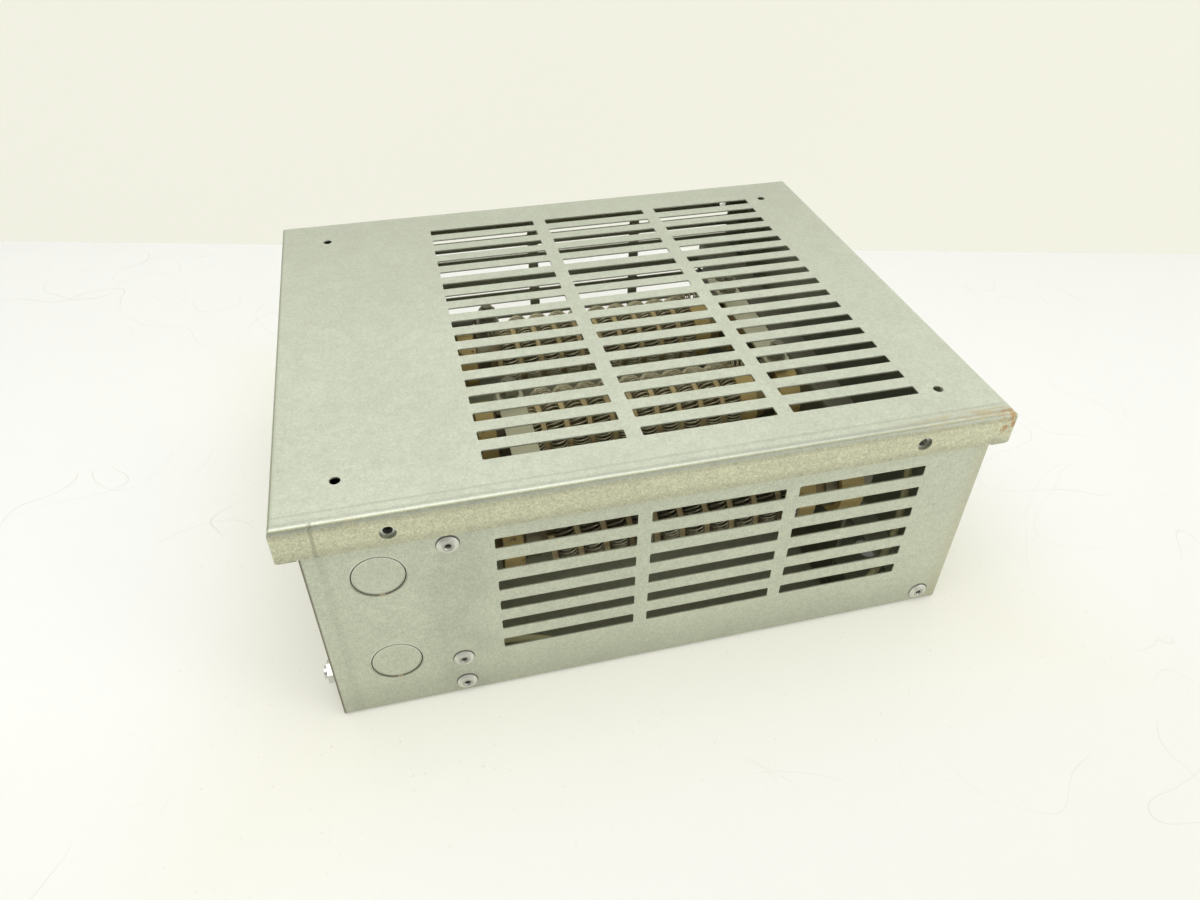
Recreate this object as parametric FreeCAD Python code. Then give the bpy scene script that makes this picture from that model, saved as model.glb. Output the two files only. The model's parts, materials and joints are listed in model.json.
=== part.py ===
import FreeCAD, Part
import math
import os

# Braking resistor: a ventilated sheet-steel case with a lift-off lid, and three wire-wound
# ceramic elements wired in series inside it. Millimetres, +Z up, the front faces -Y.
# The origin is the middle of the underside.

V = FreeCAD.Vector
X_AXIS = V(1, 0, 0)
Y_AXIS = V(0, 1, 0)
Z_AXIS = V(0, 0, 1)

# Lid
lid_length = 330.2
lid_depth = 270.0
overall_height = 127.0
lid_sheet = 0.8
lid_flange = 17.3
lid_bend_radius = 2.6
lid_tab_drop = 1.2
lid_corner_hole_radius = 2.4
lid_corner_hole_inset_x = 26.6
lid_corner_hole_inset_y = 25.0
lid_screw_hole_radius = 3.5
lid_screw_inset = 45.1
lid_screw_drop = 10.4

# Case
case_sheet = 0.8
case_bend_radius = 3.0
panel_bend_radius = 2.6
lid_front_clearance = 0.9
lid_end_clearance = 7.7
wall_top_clearance = 0.5
tab_clearance = 0.5
end_flange_width = 16.0
end_flange_lift = 5.7
end_flange_top_gap = 9.0
partition_relief = 3.0
mounting_slot_length = 14.0
mounting_slot_width = 8.8
mounting_slot_end_flat = 0.01
mounting_slot_inset_x = 18.6
mounting_slot_inset_y = 41.8

# Ventilation slots
slot_width = 6.3
slot_corner_radius = 0.8
lid_slot_columns = 3
lid_slot_rows = 17
lid_slot_gap_x = 7.5
lid_slot_gap_y = 7.2
lid_slot_right_inset = 37.15
wall_slot_columns = 3
wall_slot_rows = 6
wall_slot_gap_x = 6.5
wall_slot_partition_gap = 10.25
wall_slot_right_gap = 30.85
wall_slot_bottom_height = 31.55
wall_slot_top_gap = 11.45
rear_slot_extra_rows = 1
rear_slot_drop = 1.45

# Knockouts in the front wall
knockout_radius = 11.4
knockout_slit = 0.5
knockout_tab = 2.4
knockout_inset = 29.1
upper_knockout_drop = 36.0
lower_knockout_height = 33.8

# Blind rivets
rivet_shank_radius = 2.4
rivet_head_radius = 4.8
rivet_head_height = 1.5
rivet_bore_radius = 1.3
rivet_edge = 0.35
rivet_bore_chamfer = 0.5
rivet_dome_shoulder = 0.78
rivet_tail_radius = 3.2
rivet_tail_length = 3.6
rivet_tail_round = 0.8
rivet_mandrel_length = 1.2
rivet_setback = 8.5
top_rivet_gap = 7.0
middle_rivet_height = 26.3
low_rivet_height = 8.3
end_rivet_inset = 10.9

# Lid clinch nuts
clinch_thread_radius = 2.1
clinch_spigot_radius = 3.0
clinch_nut_radius = 4.8
clinch_nut_height = 3.0
clinch_nut_clearance = 2.0

# Element stack, from left to right along each support rod
element_place_count = 4
element_count = 3
element_wall_gap = 21.5
element_axis_drop = 45.5
partition_inset = 68.6
partition_top_gap = 3.7
left_spacer_length = 14.5
collar_length = 9.2
bare_neck_length = 13.3
right_spacer_length = 13.7
end_ring_length = 11.5
bracket_sheet = 1.6
bracket_end_gap = 40.9
bracket_wall_gap = 13.5
bracket_above_axis = 19.5
bracket_flange_width = 15.0

rod_radius = 4.0
rod_clearance = 0.3
rod_stub = 2.0
rod_nut_flats = 13.0
rod_nut_height = 6.5
rod_washer_radius = 8.0
rod_washer_sheet = 1.6
neck_radius = 11.9
collar_radius = 17.0
end_ring_radius = 16.5
ridge_radius = 16.8
ridge_width = 2.6
ridge_root_width = 2.9
ridge_sink = 0.8

# Resistance coil, wound as a fat helix in the core's helical groove. Angles are from the top
# towards the front, in degrees.
coil_tube_radius = 4.2
coil_clearance = 0.3
coil_pitch = 12.03
coil_start_inset = 3.6
winding_angle = 16.0
coil_end_angle = 40.0
ridge_lag = 44.0
tail_radius = 1.1
tail_clearance = 0.3
tail_pitch = 3.0
tail_end_angle = -8.0
tail_start_overlap = 8.0

# Terminal clamps
band_width = 6.5
band_sheet = 1.0
band_clearance = 0.1
band_to_ring_gap = 0.3
left_band_gap = 1.55
post_width = 7.0
lug_offset = 4.5
lug_half_length = 6.3
lug_half_width = 6.0
lug_sheet = 1.2
terminal_clearance = 1.7
clip_reach = 5.5
clip_width = 5.0
weld_overlap = 0.4

# Jumper straps and terminal screws
strap_width = 13.4
strap_sheet = 1.5
strap_end_margin = 8.0
strap_spare_hole_pitch = 14.0
screw_radius = 2.5
screw_hole_radius = 2.7
screw_flats = 8.0
screw_head_height = 2.2
screw_head_room = 0.4
terminal_nut_height = 4.0
terminal_jam_nut_height = 2.7
screw_stub = 1.8
screw_ease = 0.1
thread_ease = 0.05
washer_radius = 5.0
washer_sheet = 0.9

# Leads and ring lugs
lead_radius = 2.0
lead_bend_share = 0.4
lead_ease = 0.2
lead_end_gap = 2.6
lead_wall_gap = 6.4
lead_floor_gap = 1.2
lug_ring_radius = 5.0
lug_ring_sheet = 0.9
lug_barrel_radius = 2.7
lug_barrel_length = 8.0
lug_ring_to_barrel = 6.5
lug_neck_overlap = 1.2
lug_neck_inset = 0.5

# Grommets
grommet_lip = 1.8
grommet_wall = 1.6
grommet_lip_sheet = 1.4
lower_grommet_inset = 13.5
lower_grommet_z = 15.5

# Thermal switch on the partition
switch_drop = 22.5
switch_cap_radius = 8.0
switch_cap_length = 4.0
switch_body_radius = 9.0
switch_body_length = 9.0
switch_flange_sheet = 0.9
switch_flange_half_length = 17.0
switch_flange_half_width = 6.0
switch_screw_y = 12.5
switch_tab_width = 6.3
switch_tab_sheet = 0.8
switch_tab_length = 11.0
switch_tab_spacing = 10.0
switch_tab_hole_radius = 1.0
switch_tab_hole_place = 6.6
switch_ease = 0.3
small_screw_radius = 1.75
small_screw_head_radius = 3.2
small_screw_head_height = 1.9
small_nut_flats = 6.0
small_nut_height = 2.4
small_screw_stub = 1.0
driver_slot_half_width = 0.4

# Terminal block on its hat bracket
block_y = 0.0
block_stand_gap = 0.2
block_poles = 4
block_pole_pitch = 14.0
block_end_length = 9.0
block_base_width = 24.0
block_base_height = 9.0
block_barrier_height = 17.0
block_barrier_width = 2.4
block_strip_width = 8.0
block_strip_sheet = 1.2
block_strip_inset = 1.0
block_screw_row = 7.0
block_screw_head_radius = 3.6
block_screw_head_height = 2.4
block_screw_radius = 1.9
block_screw_depth = 5.5
block_screw_tip_gap = 0.5
hat_height = 12.0
hat_foot = 10.0
hat_wall = 1.5

# Ground stud in the left end panel
ground_inset = 15.8
ground_z = 15.5
ground_screw_radius = 3.0
ground_hole_clearance = 0.2
ground_nut_flats = 10.0
ground_nut_height = 4.0
ground_head_height = 3.6
ground_washer_radius = 6.2
ground_washer_sheet = 0.9
ground_stub = 1.6

# How far each cutter reaches past the faces it cuts
cut_margin = 1.0

# Values worked out from the ones above
lid_under = overall_height - lid_sheet
lid_flange_bottom = overall_height - lid_flange
lid_corner_hole_x = lid_length / 2 - lid_corner_hole_inset_x
lid_corner_hole_y = lid_depth / 2 - lid_corner_hole_inset_y
lid_screw_x = lid_length / 2 - lid_screw_inset
lid_screw_z = overall_height - lid_screw_drop
case_half_length = lid_length / 2 - lid_sheet - lid_end_clearance
case_half_depth = lid_depth / 2 - lid_sheet - lid_front_clearance
wall_inner_y = case_half_depth - case_sheet
wall_top = lid_under - wall_top_clearance
floor_top = case_sheet
mounting_slot_x = case_half_length - mounting_slot_inset_x
mounting_slot_y = case_half_depth - mounting_slot_inset_y
partition_x = partition_inset - case_half_length
partition_top = lid_under - partition_top_gap
wall_slot_left = partition_x + wall_slot_partition_gap
wall_slot_field = case_half_length - wall_slot_right_gap - wall_slot_left
slot_length = (wall_slot_field + wall_slot_gap_x) / wall_slot_columns - wall_slot_gap_x
lid_slot_pitch_x = slot_length + lid_slot_gap_x
lid_slot_pitch_y = slot_width + lid_slot_gap_y
lid_slot_field = lid_slot_columns * lid_slot_pitch_x - lid_slot_gap_x
lid_slot_centre_x = lid_length / 2 - lid_slot_right_inset - lid_slot_field / 2
wall_slot_pitch_x = slot_length + wall_slot_gap_x
wall_slot_centre_x = wall_slot_left + wall_slot_field / 2
wall_slot_top = lid_flange_bottom - wall_slot_top_gap
wall_slot_pitch_z = (wall_slot_top - wall_slot_bottom_height) / (wall_slot_rows - 1)
wall_slot_centre_z = (wall_slot_top + wall_slot_bottom_height) / 2
rear_slot_rows = wall_slot_rows + rear_slot_extra_rows
rear_slot_centre_z = wall_slot_centre_z + rear_slot_extra_rows * wall_slot_pitch_z / 2 - rear_slot_drop
knockout_x = knockout_inset - case_half_length
knockout_heights = (overall_height - upper_knockout_drop, lower_knockout_height)
partition_rivet_heights = (lid_flange_bottom - top_rivet_gap, middle_rivet_height, low_rivet_height)
rivet_x = partition_x - case_sheet - rivet_setback
end_rivet_x = case_half_length - end_rivet_inset
element_axis_height = overall_height - element_axis_drop
element_pitch = 2 * (wall_inner_y - element_wall_gap) / (element_place_count - 1)
bracket_half_depth = wall_inner_y - bracket_wall_gap
bracket_top = element_axis_height + bracket_above_axis
bracket_x = case_half_length - bracket_end_gap - bracket_flange_width
end_ring_x = bracket_x - end_ring_length
core_right_x = end_ring_x - right_spacer_length
core_neck_right_x = core_right_x - collar_length
core_left_x = partition_x + left_spacer_length
core_neck_left_x = core_left_x + collar_length
winding_left_x = core_neck_left_x + bare_neck_length
winding_length = core_neck_right_x - winding_left_x
band_centre_left = core_neck_left_x + left_band_gap + band_width / 2
band_centre_right = end_ring_x - band_width / 2 - band_to_ring_gap
coil_centre_radius = neck_radius + coil_clearance + coil_tube_radius
coil_start_x = winding_left_x + coil_start_inset
coil_whole_turns = math.floor((winding_length - 2 * coil_start_inset) / coil_pitch)
coil_turns = coil_whole_turns + (coil_end_angle - winding_angle) / 360
coil_end_x = coil_start_x + coil_pitch * coil_turns
tail_height = collar_radius + tail_clearance + tail_radius
tail_start_angle = coil_end_angle - tail_start_overlap
tail_turns = (360 + tail_end_angle - tail_start_angle) / 360
tail_corner_x = coil_end_x + tail_pitch * tail_turns
lug_top = (element_axis_height + max(end_ring_radius, collar_radius) + terminal_clearance
           + screw_head_height + lug_sheet)
strap_top = lug_top + strap_sheet
left_lug_x = band_centre_left + lug_offset
right_lug_x = band_centre_right + lug_offset
block_length = block_poles * block_pole_pitch + 2 * block_end_length
block_bottom = floor_top + hat_height
block_base_top = block_bottom + block_base_height
block_strip_top = block_base_top + block_strip_sheet
block_x = end_flange_width + block_stand_gap + block_base_width / 2 - case_half_length
upper_grommet_z = lug_top + lug_barrel_radius
lower_grommet_y = lower_grommet_inset - wall_inner_y
rod_hole_radius = rod_radius + rod_clearance
small_screw_hole_radius = small_screw_radius + 2 * screw_ease
grommet_hole_radius = lead_radius + lead_ease + grommet_wall
first_place_y = -(element_place_count - 1) / 2 * element_pitch
place_ys = [first_place_y + place * element_pitch for place in range(element_place_count)]
element_ys = place_ys[:element_count]
front_y, middle_y, rear_y = element_ys
upper_grommet_y = rear_y
switch_y = rear_y + element_pitch / 2
switch_z = element_axis_height - switch_drop
ground_y = ground_inset - case_half_depth


def box(x0, x1, y0, y1, z0, z1):
    """A block between two corners."""
    return Part.makeBox(x1 - x0, y1 - y0, z1 - z0, V(x0, y0, z0))


def rod(start, axis, radius, length):
    """A round bar from start along axis."""
    return Part.makeCylinder(radius, length, start, axis)


def hole(face_point, axis, radius, depth):
    """A round cutter from just before a face to just past a depth along axis."""
    return rod(face_point - axis * cut_margin, axis, radius, depth + 2 * cut_margin)


def tube(start, axis, outer, inner, length):
    """A round bar with a bore right through it."""
    return rod(start, axis, outer, length).cut(hole(start, axis, inner, length))


def hexagon(start, axis, flats, height):
    """A hexagonal bar from start along X, Y or Z."""
    corner = flats / math.sqrt(3)
    points = []
    for index in range(7):
        angle = math.radians(60 * index)
        points.append(V(corner * math.cos(angle), corner * math.sin(angle), 0))
    shape = Part.Face(Part.makePolygon(points)).extrude(V(0, 0, height))
    shape.Placement = FreeCAD.Placement(start, FreeCAD.Rotation(Z_AXIS, axis))
    return shape


def edges_where(shape, test):
    """The straight edges whose two ends both pass a test."""
    return [edge for edge in shape.Edges if all(test(vertex.Point) for vertex in edge.Vertexes)]


def close(a, b):
    return abs(a - b) < 1e-6


def slot_face(length, width, corner):
    """A rectangle with rounded corners, centred on the origin in the XY plane."""
    half_x, half_y = length / 2, width / 2
    flat = Part.makePlane(length, width, V(-half_x, -half_y, 0))
    solid = flat.extrude(V(0, 0, 1))
    upright = [e for e in solid.Edges if close(abs(e.tangentAt(e.FirstParameter).z), 1)]
    rounded = solid.makeFillet(corner, upright)
    return [face for face in rounded.Faces if close(face.CenterOfMass.z, 0)][0]


def slot_cutter(centre, length, width, corner, through):
    """A slot-shaped cutter whose length lies along X, going through along Z or Y."""
    face = slot_face(length, width, corner)
    if close(through.z, 0):
        face.rotate(V(0, 0, 0), X_AXIS, 90)
    face.translate(centre)
    return face.extrude(through)


def row(count, pitch, centre):
    """Evenly spaced places about a centre."""
    return [centre + (index - (count - 1) / 2) * pitch for index in range(count)]


def lid_slots():
    cutters = []
    for x in row(lid_slot_columns, lid_slot_pitch_x, lid_slot_centre_x):
        for y in row(lid_slot_rows, lid_slot_pitch_y, 0):
            start = V(x, y, lid_under - cut_margin)
            through = V(0, 0, lid_sheet + 2 * cut_margin)
            cutters.append(slot_cutter(start, slot_length, slot_width, slot_corner_radius, through))
    return cutters


def make_lid():
    """Top sheet with four turned-down flanges, and lapped tabs at the corners."""
    half_x, half_y = lid_length / 2, lid_depth / 2
    bottom = lid_flange_bottom
    outer = box(-half_x, half_x, -half_y, half_y, bottom, overall_height)
    outer = outer.makeFillet(lid_bend_radius, edges_where(outer, lambda p: close(p.z, overall_height)))
    inner_x, inner_y = half_x - lid_sheet, half_y - lid_sheet
    inner = box(-inner_x, inner_x, -inner_y, inner_y, bottom - cut_margin, lid_under)
    upper_edges = edges_where(inner, lambda p: close(p.z, lid_under))
    inner = inner.makeFillet(lid_bend_radius - lid_sheet, upper_edges)
    shell = outer.cut(inner)
    cutters = lid_slots()
    for side in (-1, 1):
        for end in (-1, 1):
            x, y = end * lid_corner_hole_x, side * lid_corner_hole_y
            cutters.append(hole(V(x, y, lid_under), Z_AXIS, lid_corner_hole_radius, lid_sheet))
            start = V(end * lid_screw_x, side * half_y, lid_screw_z)
            cutters.append(hole(start, V(0, -side, 0), lid_screw_hole_radius, lid_sheet))
    shell = shell.cut(Part.makeCompound(cutters))
    tabs = []
    tab_bottom = bottom - lid_tab_drop
    tab_top = lid_under - lid_bend_radius
    for side in (-1, 1):
        for end in (-1, 1):
            xs = sorted((end * (inner_x + lid_sheet / 2), end * (case_half_length + tab_clearance)))
            ys = sorted((side * inner_y, side * (inner_y - lid_sheet)))
            tabs.append(box(xs[0], xs[1], ys[0], ys[1], tab_bottom, tab_top))
    return shell.fuse(tabs).removeSplitter()


def knockout_slits():
    """Round slits that leave each knockout held by one small tab at its lowest point."""
    cutters = []
    outer, inner = knockout_radius + knockout_slit / 2, knockout_radius - knockout_slit / 2
    depth = case_sheet + 2 * cut_margin
    for z in knockout_heights:
        start = V(knockout_x, -case_half_depth - cut_margin, z)
        ring = tube(start, Y_AXIS, outer, inner, depth)
        tab = box(knockout_x - knockout_tab / 2, knockout_x + knockout_tab / 2, start.y, start.y + depth,
                  z - outer - cut_margin, z - inner + cut_margin)
        cutters.append(ring.cut(tab))
    return cutters


def rivet_places():
    """Where the blind rivets go, as X and Z, on the front and the rear wall alike."""
    return [(rivet_x, z) for z in partition_rivet_heights] + [(end_rivet_x, low_rivet_height)]


def make_case_wrap():
    """Front wall, floor and rear wall, bent from one sheet."""
    half_x = case_half_length
    outer = box(-half_x, half_x, -case_half_depth, case_half_depth, 0, wall_top)
    outer = outer.makeFillet(case_bend_radius, [e for e in edges_where(outer, lambda p: close(p.z, 0))
                                                if close(abs(e.tangentAt(e.FirstParameter).x), 1)])
    inner = box(-half_x - cut_margin, half_x + cut_margin, -wall_inner_y, wall_inner_y, floor_top,
                wall_top + cut_margin)
    inner = inner.makeFillet(case_bend_radius - case_sheet,
                             [e for e in edges_where(inner, lambda p: close(p.z, floor_top))
                              if close(abs(e.tangentAt(e.FirstParameter).x), 1)])
    wrap = outer.cut(inner)
    front, depth = -case_half_depth, 2 * case_half_depth
    cutters = knockout_slits()
    through = V(0, case_sheet + 2 * cut_margin, 0)
    rows = ((front, row(wall_slot_rows, wall_slot_pitch_z, wall_slot_centre_z)),
            (wall_inner_y, row(rear_slot_rows, wall_slot_pitch_z, rear_slot_centre_z)))
    for x in row(wall_slot_columns, wall_slot_pitch_x, wall_slot_centre_x):
        for face_y, heights in rows:
            for z in heights:
                start = V(x, face_y - cut_margin, z)
                cutters.append(slot_cutter(start, slot_length, slot_width, slot_corner_radius, through))
    for x, z in rivet_places():
        cutters.append(hole(V(x, front, z), Y_AXIS, rivet_shank_radius, depth))
    for end in (-1, 1):
        cutters.append(hole(V(end * lid_screw_x, front, lid_screw_z), Y_AXIS, clinch_spigot_radius, depth))
        cutters += mounting_slots(end)
    return wrap.cut(Part.makeCompound(cutters))


def mounting_slots(end):
    """The two floor slots at one end; their length lies along Y."""
    cutters = []
    for side in (-1, 1):
        end_radius = mounting_slot_width / 2 - mounting_slot_end_flat
        cutter = slot_cutter(V(0, 0, -cut_margin), mounting_slot_length, mounting_slot_width, end_radius,
                             V(0, 0, case_sheet + 2 * cut_margin))
        cutter.rotate(V(0, 0, 0), Z_AXIS, 90)
        cutter.translate(V(end * mounting_slot_x, side * mounting_slot_y, 0))
        cutters.append(cutter)
    return cutters


def flanged_pan(face_x, toward, flange, half_y, z_low, z_high, sheet):
    """A sheet standing across the case, its four flanges turned along X (toward is 1 or -1)."""
    xs = sorted((face_x, face_x + toward * flange))
    outer = box(xs[0], xs[1], -half_y, half_y, z_low, z_high)
    on_face = edges_where(outer, lambda p: close(p.x, face_x))
    corner_low = [e for e in edges_where(outer, lambda p: close(p.z, z_low))
                  if close(abs(e.tangentAt(e.FirstParameter).x), 1)]
    outer = outer.makeFillet(panel_bend_radius, on_face + corner_low)
    inner_face = face_x + toward * sheet
    xs = sorted((inner_face, face_x + toward * (flange + cut_margin)))
    inner = box(xs[0], xs[1], -half_y + sheet, half_y - sheet, z_low + sheet, z_high - sheet)
    on_face = edges_where(inner, lambda p: close(p.x, inner_face))
    corner_low = [e for e in edges_where(inner, lambda p: close(p.z, z_low + sheet))
                  if close(abs(e.tangentAt(e.FirstParameter).x), 1)]
    inner = inner.makeFillet(panel_bend_radius - sheet, on_face + corner_low)
    return outer.cut(inner)


def flange_relief(face_x, toward, half_y, z_low, z_high, low_gap, high_gap):
    """Blocks that free the flanges from each other at the four corners of a pan."""
    xs = sorted((face_x + toward * panel_bend_radius, face_x + toward * 2 * end_flange_width))
    blocks = []
    for side in (-1, 1):
        ys = sorted((side * (half_y - low_gap), side * (half_y + cut_margin)))
        blocks.append(box(xs[0], xs[1], ys[0], ys[1], z_low - cut_margin, z_low + low_gap))
        ys = sorted((side * (half_y - high_gap), side * (half_y + cut_margin)))
        blocks.append(box(xs[0], xs[1], ys[0], ys[1], z_high - high_gap, z_high + cut_margin))
    return blocks


def make_end_panel(end):
    """An end wall with flanges inside the front and rear walls, on the floor and under the lid."""
    face_x = end * case_half_length
    panel = flanged_pan(face_x, -end, end_flange_width, wall_inner_y, floor_top, lid_under, case_sheet)
    cutters = flange_relief(face_x, -end, wall_inner_y, floor_top, lid_under, end_flange_lift,
                            end_flange_top_gap)
    if end < 0:
        start = V(face_x, ground_y, ground_z)
        cutters.append(hole(start, X_AXIS, ground_screw_radius + ground_hole_clearance, case_sheet))
    else:
        for side in (-1, 1):
            start = V(end_rivet_x, side * wall_inner_y, low_rivet_height)
            cutters.append(hole(start, V(0, -side, 0), rivet_shank_radius, case_sheet))
    return panel.cut(Part.makeCompound(cutters))


def make_partition():
    """The wall between the wiring space and the elements; it carries the left ends of the rods."""
    face_x, inward = partition_x, V(-1, 0, 0)
    width = case_sheet + 2 * rivet_setback
    blank_top = partition_top + 2 * panel_bend_radius
    pan = flanged_pan(face_x, -1, width, wall_inner_y, floor_top, blank_top, case_sheet)
    x0, x1 = face_x - width - cut_margin, face_x + cut_margin
    cutters = [box(x0, x1, -case_half_depth, case_half_depth, partition_top, blank_top + cut_margin)]
    flange_top = lid_screw_z - clinch_nut_radius - clinch_nut_clearance
    cutters += flange_relief(face_x, -1, wall_inner_y, floor_top, flange_top, partition_relief, 0)
    relief_y = wall_inner_y - case_sheet - partition_relief
    for side in (-1, 1):
        ys = sorted((side * relief_y, side * (wall_inner_y + cut_margin)))
        cutters.append(box(x0, face_x - panel_bend_radius, ys[0], ys[1], flange_top, blank_top))
    for y in place_ys:
        cutters.append(hole(V(face_x, y, element_axis_height), inward, rod_hole_radius, case_sheet))
    for y, z in ((upper_grommet_y, upper_grommet_z), (lower_grommet_y, lower_grommet_z)):
        cutters.append(hole(V(face_x, y, z), inward, grommet_hole_radius, case_sheet))
    cap_hole = switch_cap_radius + switch_ease
    cutters.append(hole(V(face_x, switch_y, switch_z), inward, cap_hole, case_sheet))
    for side in (-1, 1):
        start = V(face_x, switch_y + side * switch_screw_y, switch_z)
        cutters.append(hole(start, inward, small_screw_hole_radius, case_sheet))
        for z in partition_rivet_heights:
            start = V(rivet_x, side * wall_inner_y, z)
            cutters.append(hole(start, V(0, -side, 0), rivet_shank_radius, case_sheet))
    return pan.cut(Part.makeCompound(cutters))


def make_element_bracket():
    """The standing bracket that carries the right ends of the rods, with a foot on the floor."""
    face_x, half = bracket_x, bracket_half_depth
    pan = flanged_pan(face_x, 1, bracket_flange_width, half, floor_top, bracket_top, bracket_sheet)
    x0, x1 = face_x - cut_margin, face_x + bracket_flange_width + cut_margin
    cutters = []
    for side in (-1, 1):
        ys = sorted((side * (half - panel_bend_radius), side * (half + cut_margin)))
        cutters.append(box(x0, x1, ys[0], ys[1], floor_top - cut_margin, bracket_top + cut_margin))
    for y in place_ys:
        cutters.append(hole(V(face_x, y, element_axis_height), X_AXIS, rod_hole_radius, bracket_sheet))
    return pan.cut(Part.makeCompound(cutters))


def make_blind_rivet(x, z, side):
    """A set blind rivet: domed head outside, hollow shank, bulged tail inside."""
    r, head, rise = rivet_shank_radius, rivet_head_radius, rivet_head_height
    rim = rivet_bore_radius + rivet_bore_chamfer
    grip = -2 * case_sheet
    tail_end = grip - rivet_tail_length
    mandrel_top = tail_end + rivet_mandrel_length
    tail, soft = rivet_tail_radius, rivet_tail_round
    shoulder = V((head + rim) / 2, 0, rivet_edge + rivet_dome_shoulder * (rise - rivet_edge))
    dome = Part.Arc(V(head, 0, rivet_edge), shoulder, V(rim, 0, rise)).toShape()
    corners = [V(rim, 0, rise), V(rivet_bore_radius, 0, rise - rivet_bore_chamfer),
               V(rivet_bore_radius, 0, mandrel_top), V(0, 0, mandrel_top), V(0, 0, tail_end),
               V(tail - soft, 0, tail_end), V(tail, 0, tail_end + soft), V(tail, 0, grip - soft),
               V(tail - soft / 2, 0, grip), V(r, 0, grip), V(r, 0, 0), V(head, 0, 0), V(head, 0, rivet_edge)]
    outline = Part.Wire(Part.makePolygon(corners).Edges + [dome])
    solid = Part.Face(Part.Wire(Part.__sortEdges__(outline.Edges))).revolve(V(0, 0, 0), Z_AXIS, 360)
    start = V(x, side * case_half_depth, z)
    solid.Placement = FreeCAD.Placement(start, FreeCAD.Rotation(Z_AXIS, V(0, side, 0)))
    return solid


def make_rivets():
    return [make_blind_rivet(x, z, side) for side in (-1, 1) for x, z in rivet_places()]


def make_clinch_nuts():
    """Self-clinching nuts behind the lid screw holes, threads facing out."""
    nuts = []
    for side in (-1, 1):
        for end in (-1, 1):
            inner = V(end * lid_screw_x, side * wall_inner_y, lid_screw_z)
            body = rod(inner, V(0, -side, 0), clinch_nut_radius, clinch_nut_height)
            spigot = rod(inner, V(0, side, 0), clinch_spigot_radius, case_sheet)
            outer = inner + V(0, side * case_sheet, 0)
            bore = hole(outer, V(0, -side, 0), clinch_thread_radius, case_sheet + clinch_nut_height)
            nuts.append(body.fuse(spigot).removeSplitter().cut(bore))
    return nuts


def helix_sweep(pitch, turns, radius, profile_points=None, profile_radius=None):
    """A helical solid about Z that starts on +X; the profile is a polygon or a circle."""
    spine = Part.Wire(Part.makeHelix(pitch, pitch * turns, radius))
    if profile_radius:
        rise = pitch / (2 * math.pi * radius)
        profile = Part.Wire([Part.makeCircle(profile_radius, V(radius, 0, 0), V(0, 1, rise))])
    else:
        profile = Part.Wire(Part.makePolygon(profile_points))
    return spine.makePipeShell([profile], True, True)


def lay_along_x(shape, start_x, angle):
    """Turn a shape from the Z axis to the X axis, its +X side at an angle from the top to the front."""
    shape.rotate(V(0, 0, 0), X_AXIS + Z_AXIS, 180)
    shape.rotate(V(0, 0, 0), X_AXIS, angle)
    shape.translate(V(start_x, 0, element_axis_height))
    return shape


def turned(shape, angle):
    """Turn a shape about the element's axis, from the top towards the front."""
    shape.rotate(V(0, 0, element_axis_height), X_AXIS, angle)
    return shape


def make_core():
    """Grooved ceramic core: a tube with a collar at each end and a helical ridge between."""
    length = core_right_x - core_left_x
    core = rod(V(core_left_x, 0, element_axis_height), X_AXIS, neck_radius, length)
    root, top = ridge_root_width / 2, ridge_width / 2
    low = neck_radius - ridge_sink
    foot = V(low, 0, -root)
    points = [foot, V(ridge_radius, 0, -top), V(ridge_radius, 0, top), V(low, 0, root), foot]
    ridge_start = coil_start_x + (ridge_lag / 360 - 0.5) * coil_pitch
    ridge_turns = (core_neck_right_x + collar_length / 3 - ridge_start) / coil_pitch
    ridge = helix_sweep(coil_pitch, ridge_turns, neck_radius, profile_points=points)
    ridge = lay_along_x(ridge, ridge_start, winding_angle + ridge_lag)
    collars = []
    for x in (core_left_x, core_neck_right_x):
        collars.append(rod(V(x, 0, element_axis_height), X_AXIS, collar_radius, collar_length))
    core = core.fuse([ridge] + collars)
    return core.cut(hole(V(core_left_x, 0, element_axis_height), X_AXIS, rod_hole_radius, length))


def make_coil():
    """The coiled resistance wire as one fat helix. The left tail runs straight to its clamp; the right
    one goes round behind the last ridge, then over the collar."""
    coil = helix_sweep(coil_pitch, coil_turns, coil_centre_radius, profile_radius=coil_tube_radius)
    coil = lay_along_x(coil, coil_start_x, winding_angle)
    left_end = band_centre_left + band_width / 2
    right_end = band_centre_right - band_width / 2
    left_place = V(left_end, 0, element_axis_height + coil_centre_radius)
    left_tail = turned(rod(left_place, X_AXIS, tail_radius, coil_start_x - left_end), winding_angle)
    bend = helix_sweep(tail_pitch, tail_turns, tail_height, profile_radius=tail_radius)
    bend = lay_along_x(bend, coil_end_x, tail_start_angle)
    corner = V(tail_corner_x, 0, element_axis_height + tail_height)
    elbow = turned(Part.makeSphere(tail_radius, corner), tail_end_angle)
    right_tail = turned(rod(corner, X_AXIS, tail_radius, right_end - tail_corner_x), tail_end_angle)
    return coil.fuse([left_tail, bend, elbow, right_tail])


def make_spacers(x, length, outer):
    """A ring with a bore for the rod, once on each element's rod."""
    return [tube(V(x, y, element_axis_height), X_AXIS, outer, rod_hole_radius, length) for y in element_ys]


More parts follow.
